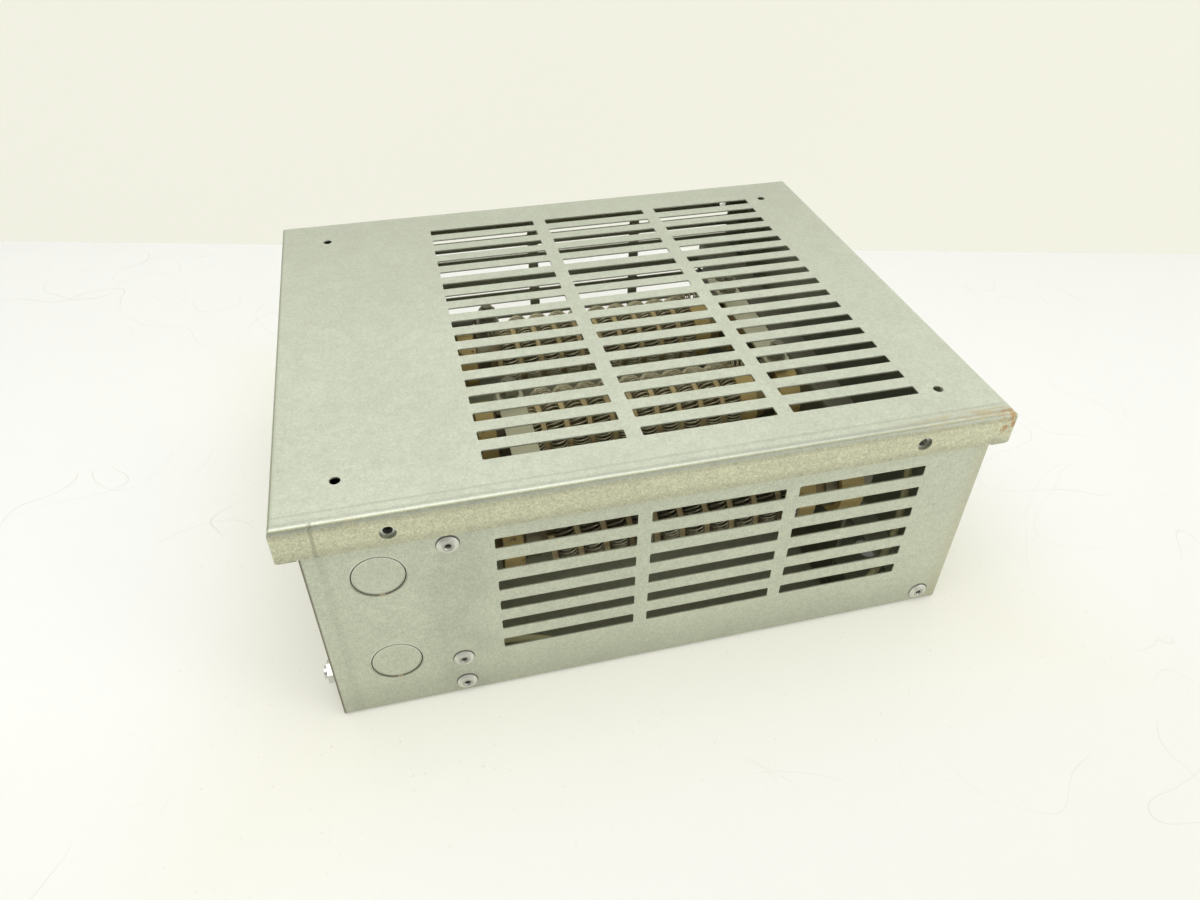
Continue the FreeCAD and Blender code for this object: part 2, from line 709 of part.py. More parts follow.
def make_clamp(centre_x, with_clip):
    """A band round the ceramic neck, with a post and lug on top and, on the left, a wire clip."""
    z = element_axis_height
    x0, x1 = centre_x - band_width / 2, centre_x + band_width / 2
    inner = neck_radius + band_clearance
    outer = inner + band_sheet
    band = tube(V(x0, 0, z), X_AXIS, outer, inner, band_width)
    post = box(x0, x1, -post_width / 2, post_width / 2, z + outer - weld_overlap, lug_top - lug_sheet)
    lug_x, under = centre_x + lug_offset, lug_top - lug_sheet
    lug = box(lug_x - lug_half_length, lug_x + lug_half_length, -lug_half_width, lug_half_width, under,
              lug_top)
    body = band.fuse([post, lug])
    if with_clip:
        half = clip_width / 2
        clip = box(x0, x1, -half, half, z + outer - weld_overlap, z + outer + clip_reach)
        body = body.fuse(turned(clip, winding_angle))
    head_room_height = screw_head_height + screw_head_room
    head_room_radius = screw_flats / math.sqrt(3) + screw_head_room
    head_room = rod(V(lug_x, 0, under - head_room_height), Z_AXIS, head_room_radius, head_room_height)
    return body.cut([hole(V(lug_x, 0, under), Z_AXIS, screw_hole_radius, lug_sheet), head_room])


def make_strap(x, y0, y1, hole_ys):
    """A flat jumper strap with rounded ends and its screw holes."""
    half = strap_width / 2
    bar = box(x - half, x + half, y0 + half, y1 - half, lug_top, strap_top)
    ends = [rod(V(x, y0 + half, lug_top), Z_AXIS, half, strap_sheet),
            rod(V(x, y1 - half, lug_top), Z_AXIS, half, strap_sheet)]
    strap = bar.fuse(ends).removeSplitter()
    return strap.cut([hole(V(x, y, lug_top), Z_AXIS, screw_hole_radius, strap_sheet) for y in hole_ys])


def terminal_seats():
    """Each terminal screw's place, and the height of the face under its washer."""
    ring_top = lug_top + lug_ring_sheet
    return [
        (left_lug_x, front_y, strap_top),
        (left_lug_x, middle_y, strap_top),
        (left_lug_x, rear_y, ring_top),
        (right_lug_x, front_y, ring_top),
        (right_lug_x, middle_y, strap_top),
        (right_lug_x, rear_y, strap_top),
    ]


def make_terminal_screw(x, y, seat):
    """A hex-head screw up through lug, strap or ring, washer and two nuts."""
    under = lug_top - lug_sheet
    top = seat + washer_sheet + terminal_nut_height + terminal_jam_nut_height + screw_stub
    head = hexagon(V(x, y, under - screw_head_height), Z_AXIS, screw_flats, screw_head_height)
    return head.fuse(rod(V(x, y, under), Z_AXIS, screw_radius, top - under))


def make_terminal_washer(x, y, seat):
    return tube(V(x, y, seat), Z_AXIS, washer_radius, screw_radius + screw_ease, washer_sheet)


def make_terminal_nuts(x, y, seat):
    """A nut and a thinner jam nut on it."""
    nuts = []
    base = seat + washer_sheet
    for height in (terminal_nut_height, terminal_jam_nut_height):
        start = V(x, y, base)
        nut = hexagon(start, Z_AXIS, screw_flats, height)
        nuts.append(nut.cut(hole(start, Z_AXIS, screw_radius + thread_ease, height)))
        base += height
    return nuts


def make_rod_set():
    """Rods, washers and nuts of the three elements."""
    rods, washers, nuts = [], [], []
    left_face = partition_x - case_sheet
    right_face = bracket_x + bracket_sheet
    left_end = left_face - rod_washer_sheet - rod_nut_height - rod_stub
    right_end = right_face + rod_washer_sheet + rod_nut_height + rod_stub
    for y in element_ys:
        rods.append(rod(V(left_end, y, element_axis_height), X_AXIS, rod_radius, right_end - left_end))
        for face, out in ((left_face, -1), (right_face, 1)):
            start = V(face, y, element_axis_height)
            axis = V(out, 0, 0)
            washers.append(tube(start, axis, rod_washer_radius, rod_radius + screw_ease, rod_washer_sheet))
            seat = start + axis * rod_washer_sheet
            nut = hexagon(seat, axis, rod_nut_flats, rod_nut_height)
            nuts.append(nut.cut(hole(seat, axis, rod_radius + thread_ease, rod_nut_height)))
    return rods, washers, nuts


def lead_path(points):
    """Straight runs joined by tangent arcs, each as large as its two runs allow."""
    edges = []
    start = points[0]
    for before, corner, after in zip(points, points[1:], points[2:]):
        into = (corner - before).normalize()
        out = (after - corner).normalize()
        turn = into.getAngle(out)
        setback = lead_bend_share * min((corner - before).Length, (after - corner).Length)
        radius = setback / math.tan(turn / 2)
        first = corner - into * setback
        last = corner + out * setback
        toward_centre = (out - into).normalize()
        middle = corner + toward_centre * (radius / math.cos(turn / 2) - radius)
        edges.append(Part.LineSegment(start, first).toShape())
        edges.append(Part.Arc(first, middle, last).toShape())
        print("lead bend radius %.1f" % radius)
        start = last
    edges.append(Part.LineSegment(start, points[-1]).toShape())
    return Part.Wire(edges)


def make_lead(points):
    """A lead wire along its path; prints how its volume compares with section times length."""
    path = lead_path(points)
    section = Part.Wire([Part.makeCircle(lead_radius, points[0], points[1] - points[0])])
    lead = path.makePipeShell([section], True, False)
    ratio = lead.Volume / (math.pi * lead_radius ** 2 * path.Length)
    print("lead length %.1f, volume ratio %.4f" % (path.Length, ratio))
    return lead


def make_ring_lug(eye, toward):
    """A crimped ring lug: its eye lies flat at eye, its barrel points toward the wire."""
    ring = rod(eye, Z_AXIS, lug_ring_radius, lug_ring_sheet)
    mouth = lug_mouth(eye, toward)
    barrel = rod(mouth, toward, lug_barrel_radius, lug_barrel_length)
    half = lug_barrel_radius - lug_neck_inset
    neck = Part.makeBox(lug_ring_to_barrel + lug_neck_overlap, 2 * half, lug_ring_sheet, V(0, -half, 0))
    neck.Placement = FreeCAD.Placement(eye, FreeCAD.Rotation(X_AXIS, toward))
    wire_room = rod(mouth, toward, lead_radius, lug_barrel_length + cut_margin)
    return ring.fuse([neck, barrel]).cut([wire_room, hole(eye, Z_AXIS, screw_hole_radius, lug_ring_sheet)])


def lug_mouth(eye, toward):
    """Where the wire enters a ring lug's barrel, and its axis."""
    return eye + toward * lug_ring_to_barrel + V(0, 0, lug_barrel_radius)


def make_grommet(y, z):
    """A rubber grommet in the partition, one lip on each face."""
    start = V(partition_x - case_sheet - grommet_lip_sheet, y, z)
    length = case_sheet + 2 * grommet_lip_sheet
    lip_radius = grommet_hole_radius + grommet_lip
    sleeve = rod(start, X_AXIS, grommet_hole_radius, length)
    lips = [rod(start, X_AXIS, lip_radius, grommet_lip_sheet),
            rod(V(partition_x, y, z), X_AXIS, lip_radius, grommet_lip_sheet)]
    return sleeve.fuse(lips).cut(hole(start, X_AXIS, lead_radius + lead_ease, length))


def make_thermal_switch():
    """A snap-disc thermal switch: cap through the partition, flange and body on the wiring side."""
    face = partition_x - case_sheet
    out = V(-1, 0, 0)
    flange = box(face - switch_flange_sheet, face, switch_y - switch_flange_half_length,
                 switch_y + switch_flange_half_length, switch_z - switch_flange_half_width,
                 switch_z + switch_flange_half_width)
    cap = rod(V(face - switch_flange_sheet, switch_y, switch_z), X_AXIS, switch_cap_radius,
              switch_flange_sheet + case_sheet + switch_cap_length)
    holes = []
    for side in (-1, 1):
        start = V(face, switch_y + side * switch_screw_y, switch_z)
        holes.append(hole(start, out, small_screw_hole_radius, switch_flange_sheet))
    return flange.fuse(cap).cut(holes)


def make_switch_body():
    start = V(partition_x - case_sheet - switch_flange_sheet, switch_y, switch_z)
    return rod(start, V(-1, 0, 0), switch_body_radius, switch_body_length)


def make_switch_tabs():
    """Two flat push-on tabs on the switch body."""
    x1 = partition_x - case_sheet - switch_flange_sheet - switch_body_length
    tabs = []
    for side in (-1, 1):
        y = switch_y + side * switch_tab_spacing / 2
        tab = box(x1 - switch_tab_length, x1, y - switch_tab_sheet / 2, y + switch_tab_sheet / 2,
                  switch_z - switch_tab_width / 2, switch_z + switch_tab_width / 2)
        start = V(x1 - switch_tab_hole_place, y - switch_tab_sheet / 2, switch_z)
        tabs.append(tab.cut(hole(start, Y_AXIS, switch_tab_hole_radius, switch_tab_sheet)))
    return tabs


def make_switch_screws():
    """Pan-head screws and nuts that hold the thermal switch."""
    screws, nuts = [], []
    head_face = partition_x - case_sheet - switch_flange_sheet
    for side in (-1, 1):
        y = switch_y + side * switch_screw_y
        length = switch_flange_sheet + case_sheet + small_nut_height + small_screw_stub
        head = rod(V(head_face, y, switch_z), V(-1, 0, 0), small_screw_head_radius, small_screw_head_height)
        shank = rod(V(head_face, y, switch_z), X_AXIS, small_screw_radius, length)
        top, half_depth = head_face - small_screw_head_height, head_face - small_screw_head_height / 2
        recess = box(top - cut_margin, half_depth,
                     y - driver_slot_half_width, y + driver_slot_half_width,
                     switch_z - small_screw_head_radius, switch_z + small_screw_head_radius)
        screws.append(head.fuse(shank).cut(recess))
        start = V(partition_x, y, switch_z)
        nut = hexagon(start, X_AXIS, small_nut_flats, small_nut_height)
        nuts.append(nut.cut(hole(start, X_AXIS, small_screw_radius + thread_ease, small_nut_height)))
    return screws, nuts


def make_hat_bracket():
    """A bridge with a foot at each end, spot welded to the floor, that lifts the terminal block."""
    half_length, half = block_length / 2, block_base_width / 2
    x0, x1 = block_x - half, block_x + half
    parts = [box(x0, x1, block_y - half_length, block_y + half_length, block_bottom - hat_wall,
                 block_bottom)]
    for side in (-1, 1):
        ys = sorted((block_y + side * half_length, block_y + side * (half_length - hat_wall)))
        parts.append(box(x0, x1, ys[0], ys[1], floor_top, block_bottom))
        ys = sorted((block_y + side * (half_length - hat_wall), block_y + side * (half_length + hat_foot)))
        parts.append(box(x0, x1, ys[0], ys[1], floor_top, floor_top + hat_wall))
    hat = parts[0].fuse(parts[1:]).removeSplitter()
    top = block_bottom - hat_wall
    return hat.cut([hole(V(block_x, y, top), Z_AXIS, small_screw_radius, hat_wall) for y in block_end_ys()])


def block_end_ys():
    """Where the two screws go that hold the terminal block down."""
    return [block_y + side * (block_length - block_end_length) / 2 for side in (-1, 1)]


def make_terminal_block():
    """A barrier strip: base, barriers between the poles and holes for its screws."""
    half_length, half = block_length / 2, block_base_width / 2
    x0, x1 = block_x - half, block_x + half
    base = box(x0, x1, block_y - half_length, block_y + half_length, block_bottom, block_base_top)
    barriers = []
    for y in row(block_poles + 1, block_pole_pitch, block_y):
        barriers.append(box(x0, x1, y - block_barrier_width / 2, y + block_barrier_width / 2, block_base_top,
                            block_bottom + block_barrier_height))
    block = base.fuse(barriers).removeSplitter()
    holes = []
    for y in pole_ys():
        for side in (-1, 1):
            start = V(block_x + side * block_screw_row, y, block_base_top - block_screw_depth)
            holes.append(rod(start, Z_AXIS, block_screw_radius + screw_ease, block_screw_depth + cut_margin))
    for y in block_end_ys():
        holes.append(hole(V(block_x, y, block_bottom), Z_AXIS, small_screw_hole_radius, block_base_height))
    return block.cut(holes)


def make_block_strips():
    """The metal strip of each pole."""
    strips = []
    half = block_base_width / 2 - block_strip_inset
    for y in pole_ys():
        strip = box(block_x - half, block_x + half, y - block_strip_width / 2, y + block_strip_width / 2,
                    block_base_top, block_strip_top)
        holes = []
        for side in (-1, 1):
            start = V(block_x + side * block_screw_row, y, block_base_top)
            holes.append(hole(start, Z_AXIS, block_screw_radius + screw_ease, block_strip_sheet))
        strips.append(strip.cut(holes))
    return strips


def slotted_screw(x, y, seat, head_radius, head_height, shank_radius, shank_length):
    """A cylinder-head screw pointing down, with a driver slot."""
    head = rod(V(x, y, seat), Z_AXIS, head_radius, head_height)
    shank = rod(V(x, y, seat - shank_length), Z_AXIS, shank_radius, shank_length)
    slot = box(x - head_radius, x + head_radius, y - driver_slot_half_width, y + driver_slot_half_width,
               seat + head_height / 2, seat + head_height + cut_margin)
    return head.fuse(shank).cut(slot)


def pole_ys():
    return row(block_poles, block_pole_pitch, block_y)


def lead_poles():
    """The two poles that the leads end on, as places of their screws."""
    x = block_x + block_screw_row
    ys = pole_ys()
    return V(x, ys[-1], block_strip_top), V(x, ys[0], block_strip_top)


def make_block_screws():
    """One screw on each side of each pole; the two that hold a lead sit on its ring lug."""
    screws = []
    ys = pole_ys()
    for y in ys:
        for side in (-1, 1):
            holds_lug = side > 0 and y in (ys[0], ys[-1])
            lift = lug_ring_sheet if holds_lug else 0
            depth = block_screw_depth + block_strip_sheet + lift - block_screw_tip_gap
            screws.append(slotted_screw(block_x + side * block_screw_row, y, block_strip_top + lift,
                                        block_screw_head_radius, block_screw_head_height,
                                        block_screw_radius, depth))
    return screws


def make_block_mounting_screws():
    """Two screws through the ends of the block into the hat bracket."""
    depth = block_base_height + hat_wall + small_screw_stub
    return [slotted_screw(block_x, y, block_base_top, small_screw_head_radius, small_screw_head_height,
                          small_screw_radius, depth) for y in block_end_ys()]


def make_ground_set():
    """Hex screw from inside, with washers, and a nut outside on the left end panel."""
    inner_face = -case_half_length + case_sheet
    outer_face = -case_half_length
    out = V(-1, 0, 0)
    head_seat = inner_face + ground_washer_sheet
    nut_seat = outer_face - ground_washer_sheet
    tip = nut_seat - ground_nut_height - ground_stub
    head = hexagon(V(head_seat, ground_y, ground_z), X_AXIS, ground_nut_flats, ground_head_height)
    screw = head.fuse(rod(V(head_seat, ground_y, ground_z), out, ground_screw_radius, head_seat - tip))
    washers = []
    for face, axis in ((inner_face, X_AXIS), (outer_face, out)):
        washers.append(tube(V(face, ground_y, ground_z), axis, ground_washer_radius,
                            ground_screw_radius + screw_ease, ground_washer_sheet))
    start = V(nut_seat, ground_y, ground_z)
    nut = hexagon(start, out, ground_nut_flats, ground_nut_height)
    nut = nut.cut(hole(start, out, ground_screw_radius + thread_ease, ground_nut_height))
    return screw, washers, nut


def rear_lead():
    """The lead from the rear element's left terminal, through the upper grommet, to the terminal block."""
    eye = V(left_lug_x, rear_y, lug_top)
    block_eye, other = lead_poles()
    start = lug_mouth(eye, V(-1, 0, 0))
    end = lug_mouth(block_eye, X_AXIS)
    points = [start, V(partition_x - 22, rear_y, start.z), V(partition_x - 24, rear_y + 2, start.z - 22),
              V(partition_x - 16, rear_y + 1, 60), V(partition_x - 8, block_eye.y + 9, end.z + 13),
              V(partition_x - 9, block_eye.y, end.z), end]
    return points, (eye, V(-1, 0, 0)), (block_eye, X_AXIS)


def front_lead():
    """The lead from the front element's right terminal, over the bracket, along the floor to the block."""
    eye = V(right_lug_x, front_y, lug_top)
    other, block_eye = lead_poles()
    start = lug_mouth(eye, X_AXIS)
    end = lug_mouth(block_eye, X_AXIS)
    hole_y, hole_z = lower_grommet_y, lower_grommet_z
    turn_x = case_half_length - end_flange_width - lead_end_gap
    low_y = lead_wall_gap - wall_inner_y
    low_z = floor_top + lead_radius + lead_floor_gap
    points = [start, V(turn_x - 11, front_y, start.z), V(turn_x, front_y + 2, start.z - 34),
              V(turn_x + 1, front_y, 32), V(turn_x - 12, low_y + 6.5, 9), V(turn_x - 38, low_y, low_z + 0.7),
              V(turn_x - 82, low_y, low_z), V(partition_x + 94, low_y + 1.6, low_z),
              V(partition_x + 48, low_y + 4.6, low_z + 1.5),
              V(partition_x + 20, hole_y, hole_z), V(partition_x - 19, hole_y, hole_z),
              V(partition_x - 22, block_eye.y - 67, 20), V(partition_x - 11, block_eye.y - 24, end.z - 3),
              V(partition_x - 9, block_eye.y, end.z), end]
    return points, (eye, X_AXIS), (block_eye, X_AXIS)


def save(name, shapes):
    """Write one node: a solid, or a group of separate solids."""
    solids = shapes if isinstance(shapes, list) else [shapes]
    solids = [solid for shape in solids for solid in shape.Solids]
    group = solids[0] if len(solids) == 1 else Part.makeCompound(solids)
    if not group.isValid():
        print("not valid:", name)
    group.exportStep("parts/%s.step" % name)


def at_y(shape, y):
    """The same piece on another support rod."""
    copy = shape.copy()
    copy.translate(V(0, y, 0))
    return copy


def main():
    os.makedirs("parts", exist_ok=True)
    save("lid", make_lid())
    save("case_wrap", make_case_wrap())
    save("left_end_panel", make_end_panel(-1))
    save("right_end_panel", make_end_panel(1))
    save("partition", make_partition())
    save("element_bracket", make_element_bracket())
    save("case_rivets", make_rivets())
    save("lid_clinch_nuts", make_clinch_nuts())

    core, coil = make_core(), make_coil()
    left_clamp = make_clamp(band_centre_left, True)
    right_clamp = make_clamp(band_centre_right, False)
    for label, y in zip(("front", "middle", "rear"), element_ys):
        save("ceramic_core_%s" % label, at_y(core, y))
        save("resistance_coil_%s" % label, at_y(coil, y))
        save("left_terminal_clamp_%s" % label, at_y(left_clamp, y))
        save("right_terminal_clamp_%s" % label, at_y(right_clamp, y))
    save("left_spacers", make_spacers(partition_x, left_spacer_length, neck_radius))
    save("right_spacers", make_spacers(core_right_x, right_spacer_length, neck_radius))
    save("end_rings", make_spacers(end_ring_x, end_ring_length, end_ring_radius))
    rods, washers, nuts = make_rod_set()
    save("support_rods", rods)
    save("rod_washers", washers)
    save("rod_nuts", nuts)

    margin = strap_end_margin
    hole_ys = (front_y, middle_y)
    save("left_jumper_strap", make_strap(left_lug_x, front_y - margin, middle_y + margin, hole_ys))
    spare_y = rear_y + strap_spare_hole_pitch
    hole_ys = (middle_y, rear_y, spare_y)
    save("right_jumper_strap", make_strap(right_lug_x, middle_y - margin, spare_y + margin, hole_ys))
    seats = terminal_seats()
    save("terminal_screws", [make_terminal_screw(x, y, seat) for x, y, seat in seats])
    save("terminal_washers", [make_terminal_washer(x, y, seat) for x, y, seat in seats])
    save("terminal_nuts", [nut for x, y, seat in seats for nut in make_terminal_nuts(x, y, seat)])

    lugs = []
    for name, lead in (("rear_lead", rear_lead()), ("front_lead", front_lead())):
        points, first, last = lead
        save(name, make_lead(points))
        lugs += [make_ring_lug(*first), make_ring_lug(*last)]
    save("lead_lugs", lugs)
    places = ((upper_grommet_y, upper_grommet_z), (lower_grommet_y, lower_grommet_z))
    save("grommets", [make_grommet(y, z) for y, z in places])

    save("thermal_switch_cup", make_thermal_switch())
    save("thermal_switch_body", make_switch_body())
    save("thermal_switch_tabs", make_switch_tabs())
    switch_screws, switch_nuts = make_switch_screws()
    save("switch_screws", switch_screws)
    save("switch_nuts", switch_nuts)

    save("block_stand", make_hat_bracket())
    save("terminal_block", make_terminal_block())
    save("terminal_block_strips", make_block_strips())
    save("terminal_block_screws", make_block_screws())
    save("block_mounting_screws", make_block_mounting_screws())

    ground_screw, ground_washers, ground_nut = make_ground_set()
    save("ground_screw", ground_screw)
    save("ground_washers", ground_washers)
    save("ground_nut", ground_nut)


main()
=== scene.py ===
import json
import math

import bpy
import numpy as np
from mathutils import Matrix, Vector


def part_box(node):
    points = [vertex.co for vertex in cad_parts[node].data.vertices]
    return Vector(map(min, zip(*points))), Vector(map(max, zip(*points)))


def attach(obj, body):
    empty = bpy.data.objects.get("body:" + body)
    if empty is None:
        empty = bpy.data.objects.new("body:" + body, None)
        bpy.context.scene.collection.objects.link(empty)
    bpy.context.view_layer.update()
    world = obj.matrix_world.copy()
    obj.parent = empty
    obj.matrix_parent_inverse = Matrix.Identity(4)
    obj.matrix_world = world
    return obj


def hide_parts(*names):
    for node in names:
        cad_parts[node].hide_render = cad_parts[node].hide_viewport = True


# The looks of a ventilated braking resistor. Metres, +Z up, the front faces -Y.

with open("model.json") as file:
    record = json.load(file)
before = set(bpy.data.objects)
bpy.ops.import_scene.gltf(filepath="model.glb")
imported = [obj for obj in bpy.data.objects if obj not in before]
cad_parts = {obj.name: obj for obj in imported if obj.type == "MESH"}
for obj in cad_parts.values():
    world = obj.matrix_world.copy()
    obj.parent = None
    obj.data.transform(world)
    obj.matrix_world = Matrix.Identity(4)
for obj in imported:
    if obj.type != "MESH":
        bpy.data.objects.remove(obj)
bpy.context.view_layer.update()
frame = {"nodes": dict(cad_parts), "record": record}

MM = 0.001

# Camera, as it stood for the photograph
camera_place = (-0.1004, -0.3977, 0.3685)
camera_azimuth = 14.505
camera_down = 39.733
camera_roll = 0.625
camera_lens = 26.371
camera_sensor = 36.0
camera_nearest = 10 * MM

# Floor and backdrop
backdrop_distance = 0.730
backdrop_half_width = 6.0
backdrop_height = 4.0
backdrop_paint = (0.80, 0.80, 0.70)
backdrop_glow = (0.905, 0.90, 0.785)
backdrop_glow_share = 0.9
backdrop_roughness = 0.9
# The floor's far and near colours; the near one is painted shade
floor_far = (0.90, 0.90, 0.92)
floor_near = (0.79, 0.785, 0.755)
# Painted warm shade close to the case
floor_warm_shade = (0.98, 0.97, 0.86)
floor_dust = (0.50, 0.42, 0.28)
# Painted shadow on the floor right under the case
floor_shadow_beneath = (0.45, 0.45, 0.36)
floor_glow = (0.95, 0.95, 0.88)
floor_glow_share = 0.3
floor_glow_beneath = 0.3
floor_roughness = 0.9
shadow_inset = 3 * MM
# Painted shade on the floor: where it turns from its far to its near colour, and how it darkens from left to
# right
floor_depth_range = (0.05, -0.40)
floor_side_range = (-0.45, 0.45)
floor_side_tones = (1.07, 0.93)
floor_warm_shade_reach = 0.12
dust_fade = (0.14, 0.02)
dust_strength = 0.35
# Hair-thin dust lines on the floor: noise scale, the noise level they follow, stretch
dust_lines = ((7, 0.47, (1, 1.6, 1)), (9, 0.55, (1.4, 1, 1)), (12, 0.43, (1, 1, 1)))

# Lamps: name, place, width and power
lamps = (("overhead", (-0.17, -0.25, 1.15), 1.1, 9.9),
         ("front_fill", (0.9, -1.3, 0.7), 1.2, 2.8),
         ("right_fill", (0.9, -0.75, 0.45), 0.6, 3.6))
lamp_aim = (0, 0, 0.06)
lamp_tint = (1.0, 1.0, 0.985)
room_tint = (0.95, 0.95, 0.90)
room_strength = 0.40

# Sheet metal colours
sheet_grey = (0.558, 0.589, 0.50)
wall_grey = (0.54, 0.57, 0.455)
sheet_warm = (0.58, 0.585, 0.42)
# A pale grey for painted highlights and glints
painted_highlight_grey = (0.68, 0.69, 0.60)
# Painted shade: the inner faces and the pieces inside are darkened to stand in for the shade inside the case
sheet_inside_shade = (0.35, 0.36, 0.25)
# Painted shade: the element bracket's dark grey stands in for the shade it sits in
bracket_shade_grey = (0.15, 0.15, 0.105)
panel_grey = (0.50, 0.51, 0.37)
rust_orange = (0.42, 0.22, 0.07)
rust_tan = (0.48, 0.40, 0.24)
# Painted shade along the rounded left bend
left_bend_shade = (0.13, 0.105, 0.07)
# Grime for marks, and painted shade on the wall's lower part and below the knockouts
grime_and_shade = (0.16, 0.15, 0.11)
# Painted shadow round the rivets' domes
rivet_shadow_tone = (0.03, 0.03, 0.025)

# Cloudy colours, each from its darker to its lighter tone
rivet_aluminium = ((0.60, 0.60, 0.54), (0.76, 0.76, 0.70))
porcelain = ((0.52, 0.385, 0.135), (0.68, 0.52, 0.195))
wire_oxide = ((0.44, 0.40, 0.24), (0.76, 0.72, 0.50))
# Painted shade: the clamp bands' dark colours
clamp_band_shade = ((0.14, 0.13, 0.075), (0.22, 0.205, 0.13))
clamp_plated = ((0.32, 0.32, 0.24), (0.46, 0.455, 0.35))
plated_steel = ((0.60, 0.59, 0.43), (0.74, 0.73, 0.54))
aged_zinc = ((0.22, 0.215, 0.155), (0.38, 0.375, 0.29))
zinc_plate = ((0.52, 0.53, 0.50), (0.70, 0.70, 0.67))
tinned_copper = ((0.32, 0.31, 0.26), (0.46, 0.45, 0.38))
brass = ((0.50, 0.38, 0.16), (0.64, 0.50, 0.24))
switch_cup_metal = ((0.50, 0.50, 0.48), (0.64, 0.64, 0.62))
phenolic = ((0.025, 0.022, 0.02), (0.045, 0.04, 0.035))
grommet_rubber = ((0.02, 0.02, 0.02), (0.035, 0.035, 0.033))
dark_braid = ((0.10, 0.10, 0.07), (0.19, 0.185, 0.14))
cream_braid = ((0.76, 0.71, 0.38), (0.90, 0.85, 0.50))

# Painted shade on the rivets, and stains and painted shade on the porcelain
rivet_hollow_shade = (0.10, 0.10, 0.08)
rivet_upper_shade = (0.16, 0.16, 0.13)
porcelain_speck = (0.10, 0.07, 0.04)
collar_mark = (0.06, 0.05, 0.03)
# Painted shade on the bare neck
neck_shade = (0.12, 0.09, 0.05)
ridge_tone = (0.60, 0.505, 0.285)
# Painted shade on the body beneath the wire
beneath_wire_shade = (0.22, 0.17, 0.075)

# The sheet's thickness, how metallic its zinc looks, and how strongly the grain shows
sheet_thickness = 0.8 * MM
sheet_metallic = 0.5
inside_contrast = 0.3
lid_top_contrast = 0.5
lid_flange_contrast = 1.2
wall_contrast = 0.85

# Painted shade: the lid darkens a little from here to its back edge
lid_shade_start = -20 * MM
lid_back_shade = 0.90

# The lid's front fold
fold_reach = 3.4 * MM
fold_fade = 0.6 * MM
# Painted highlight and shade across the fold: millimetres past the fold's edge, minus on top and plus down
# the front, and how much lighter or darker the paint makes the sheet there
fold_tones = ((-4.6, 1.0), (-2.3, 0.71), (-0.5, 1.2), (1.1, 0.68), (2.4, 0.80), (3.6, 0.84), (5.2, 1.0))
brightest_fold_tone = 1.2

# Marks on the lid and on the wall, measured from the nearest edge, and the painted shade of a shallow dimple
# beside the rivets, set back from the partition's right face
lid_crease_inset = 16 * MM
lid_die_mark_inset = 8 * MM
lid_right_stain_reach = 75 * MM
lid_left_stain_inset = 18 * MM
wall_witness_inset = 8 * MM
wall_lower_shade_height = 30 * MM
wall_heat_tint_width = 9 * MM
dimple_shade_setback = 8 * MM

# The painted shadow rings round the rivets, and the mandrels' hollows
rivet_shadow_radius = 4.9 * MM
rivet_hollow_radius = 2.3 * MM

# Elements
element_labels = ("front", "middle", "rear")
core_body_radius = 12.4 * MM
collar_length = 9.0 * MM
neck_middle = 15.5 * MM
ridge_inset = 12 * MM
coil_pitch = 12.03 * MM
coil_whole_turns = 9
coil_start_inset = 26.0 * MM
coil_centre_radius = 16.4 * MM
winding_angle = 12.0
coil_end_angle = 40.0
tail_end_angle = -22.0
tail_corner_inset = 10.5 * MM
tail_height = 19.6 * MM
route_step = 0.25 * MM
route_smoothing = 9

# Resistance wire
coil_wire_radius = 0.40 * MM
coil_wire_sides = 6
coil_loop_radius = 3.9 * MM
coil_loop_widening = 1.13
loop_pitch = 1.72 * MM
loop_steps = 12
loop_unevenness = 0.24
unevenness_lengths = (3.1 * MM, 7.7 * MM)
tail_loop_radius = 2.0 * MM
tail_loop_pitch = 2.1 * MM
wire_lit_radius = 14.2 * MM

# Sleeve over the rear lead beside its terminal
lead_radius = 2.0 * MM
lead_sleeve_radius = 4.1 * MM
lead_sleeve_sag = 0.9 * MM
lead_sleeve_grommet_gap = 0.2 * MM
lead_sleeve_lug_gap = 1.0 * MM
lead_sleeve_sides = 20
lead_sleeve_steps = 12


# Shader helper

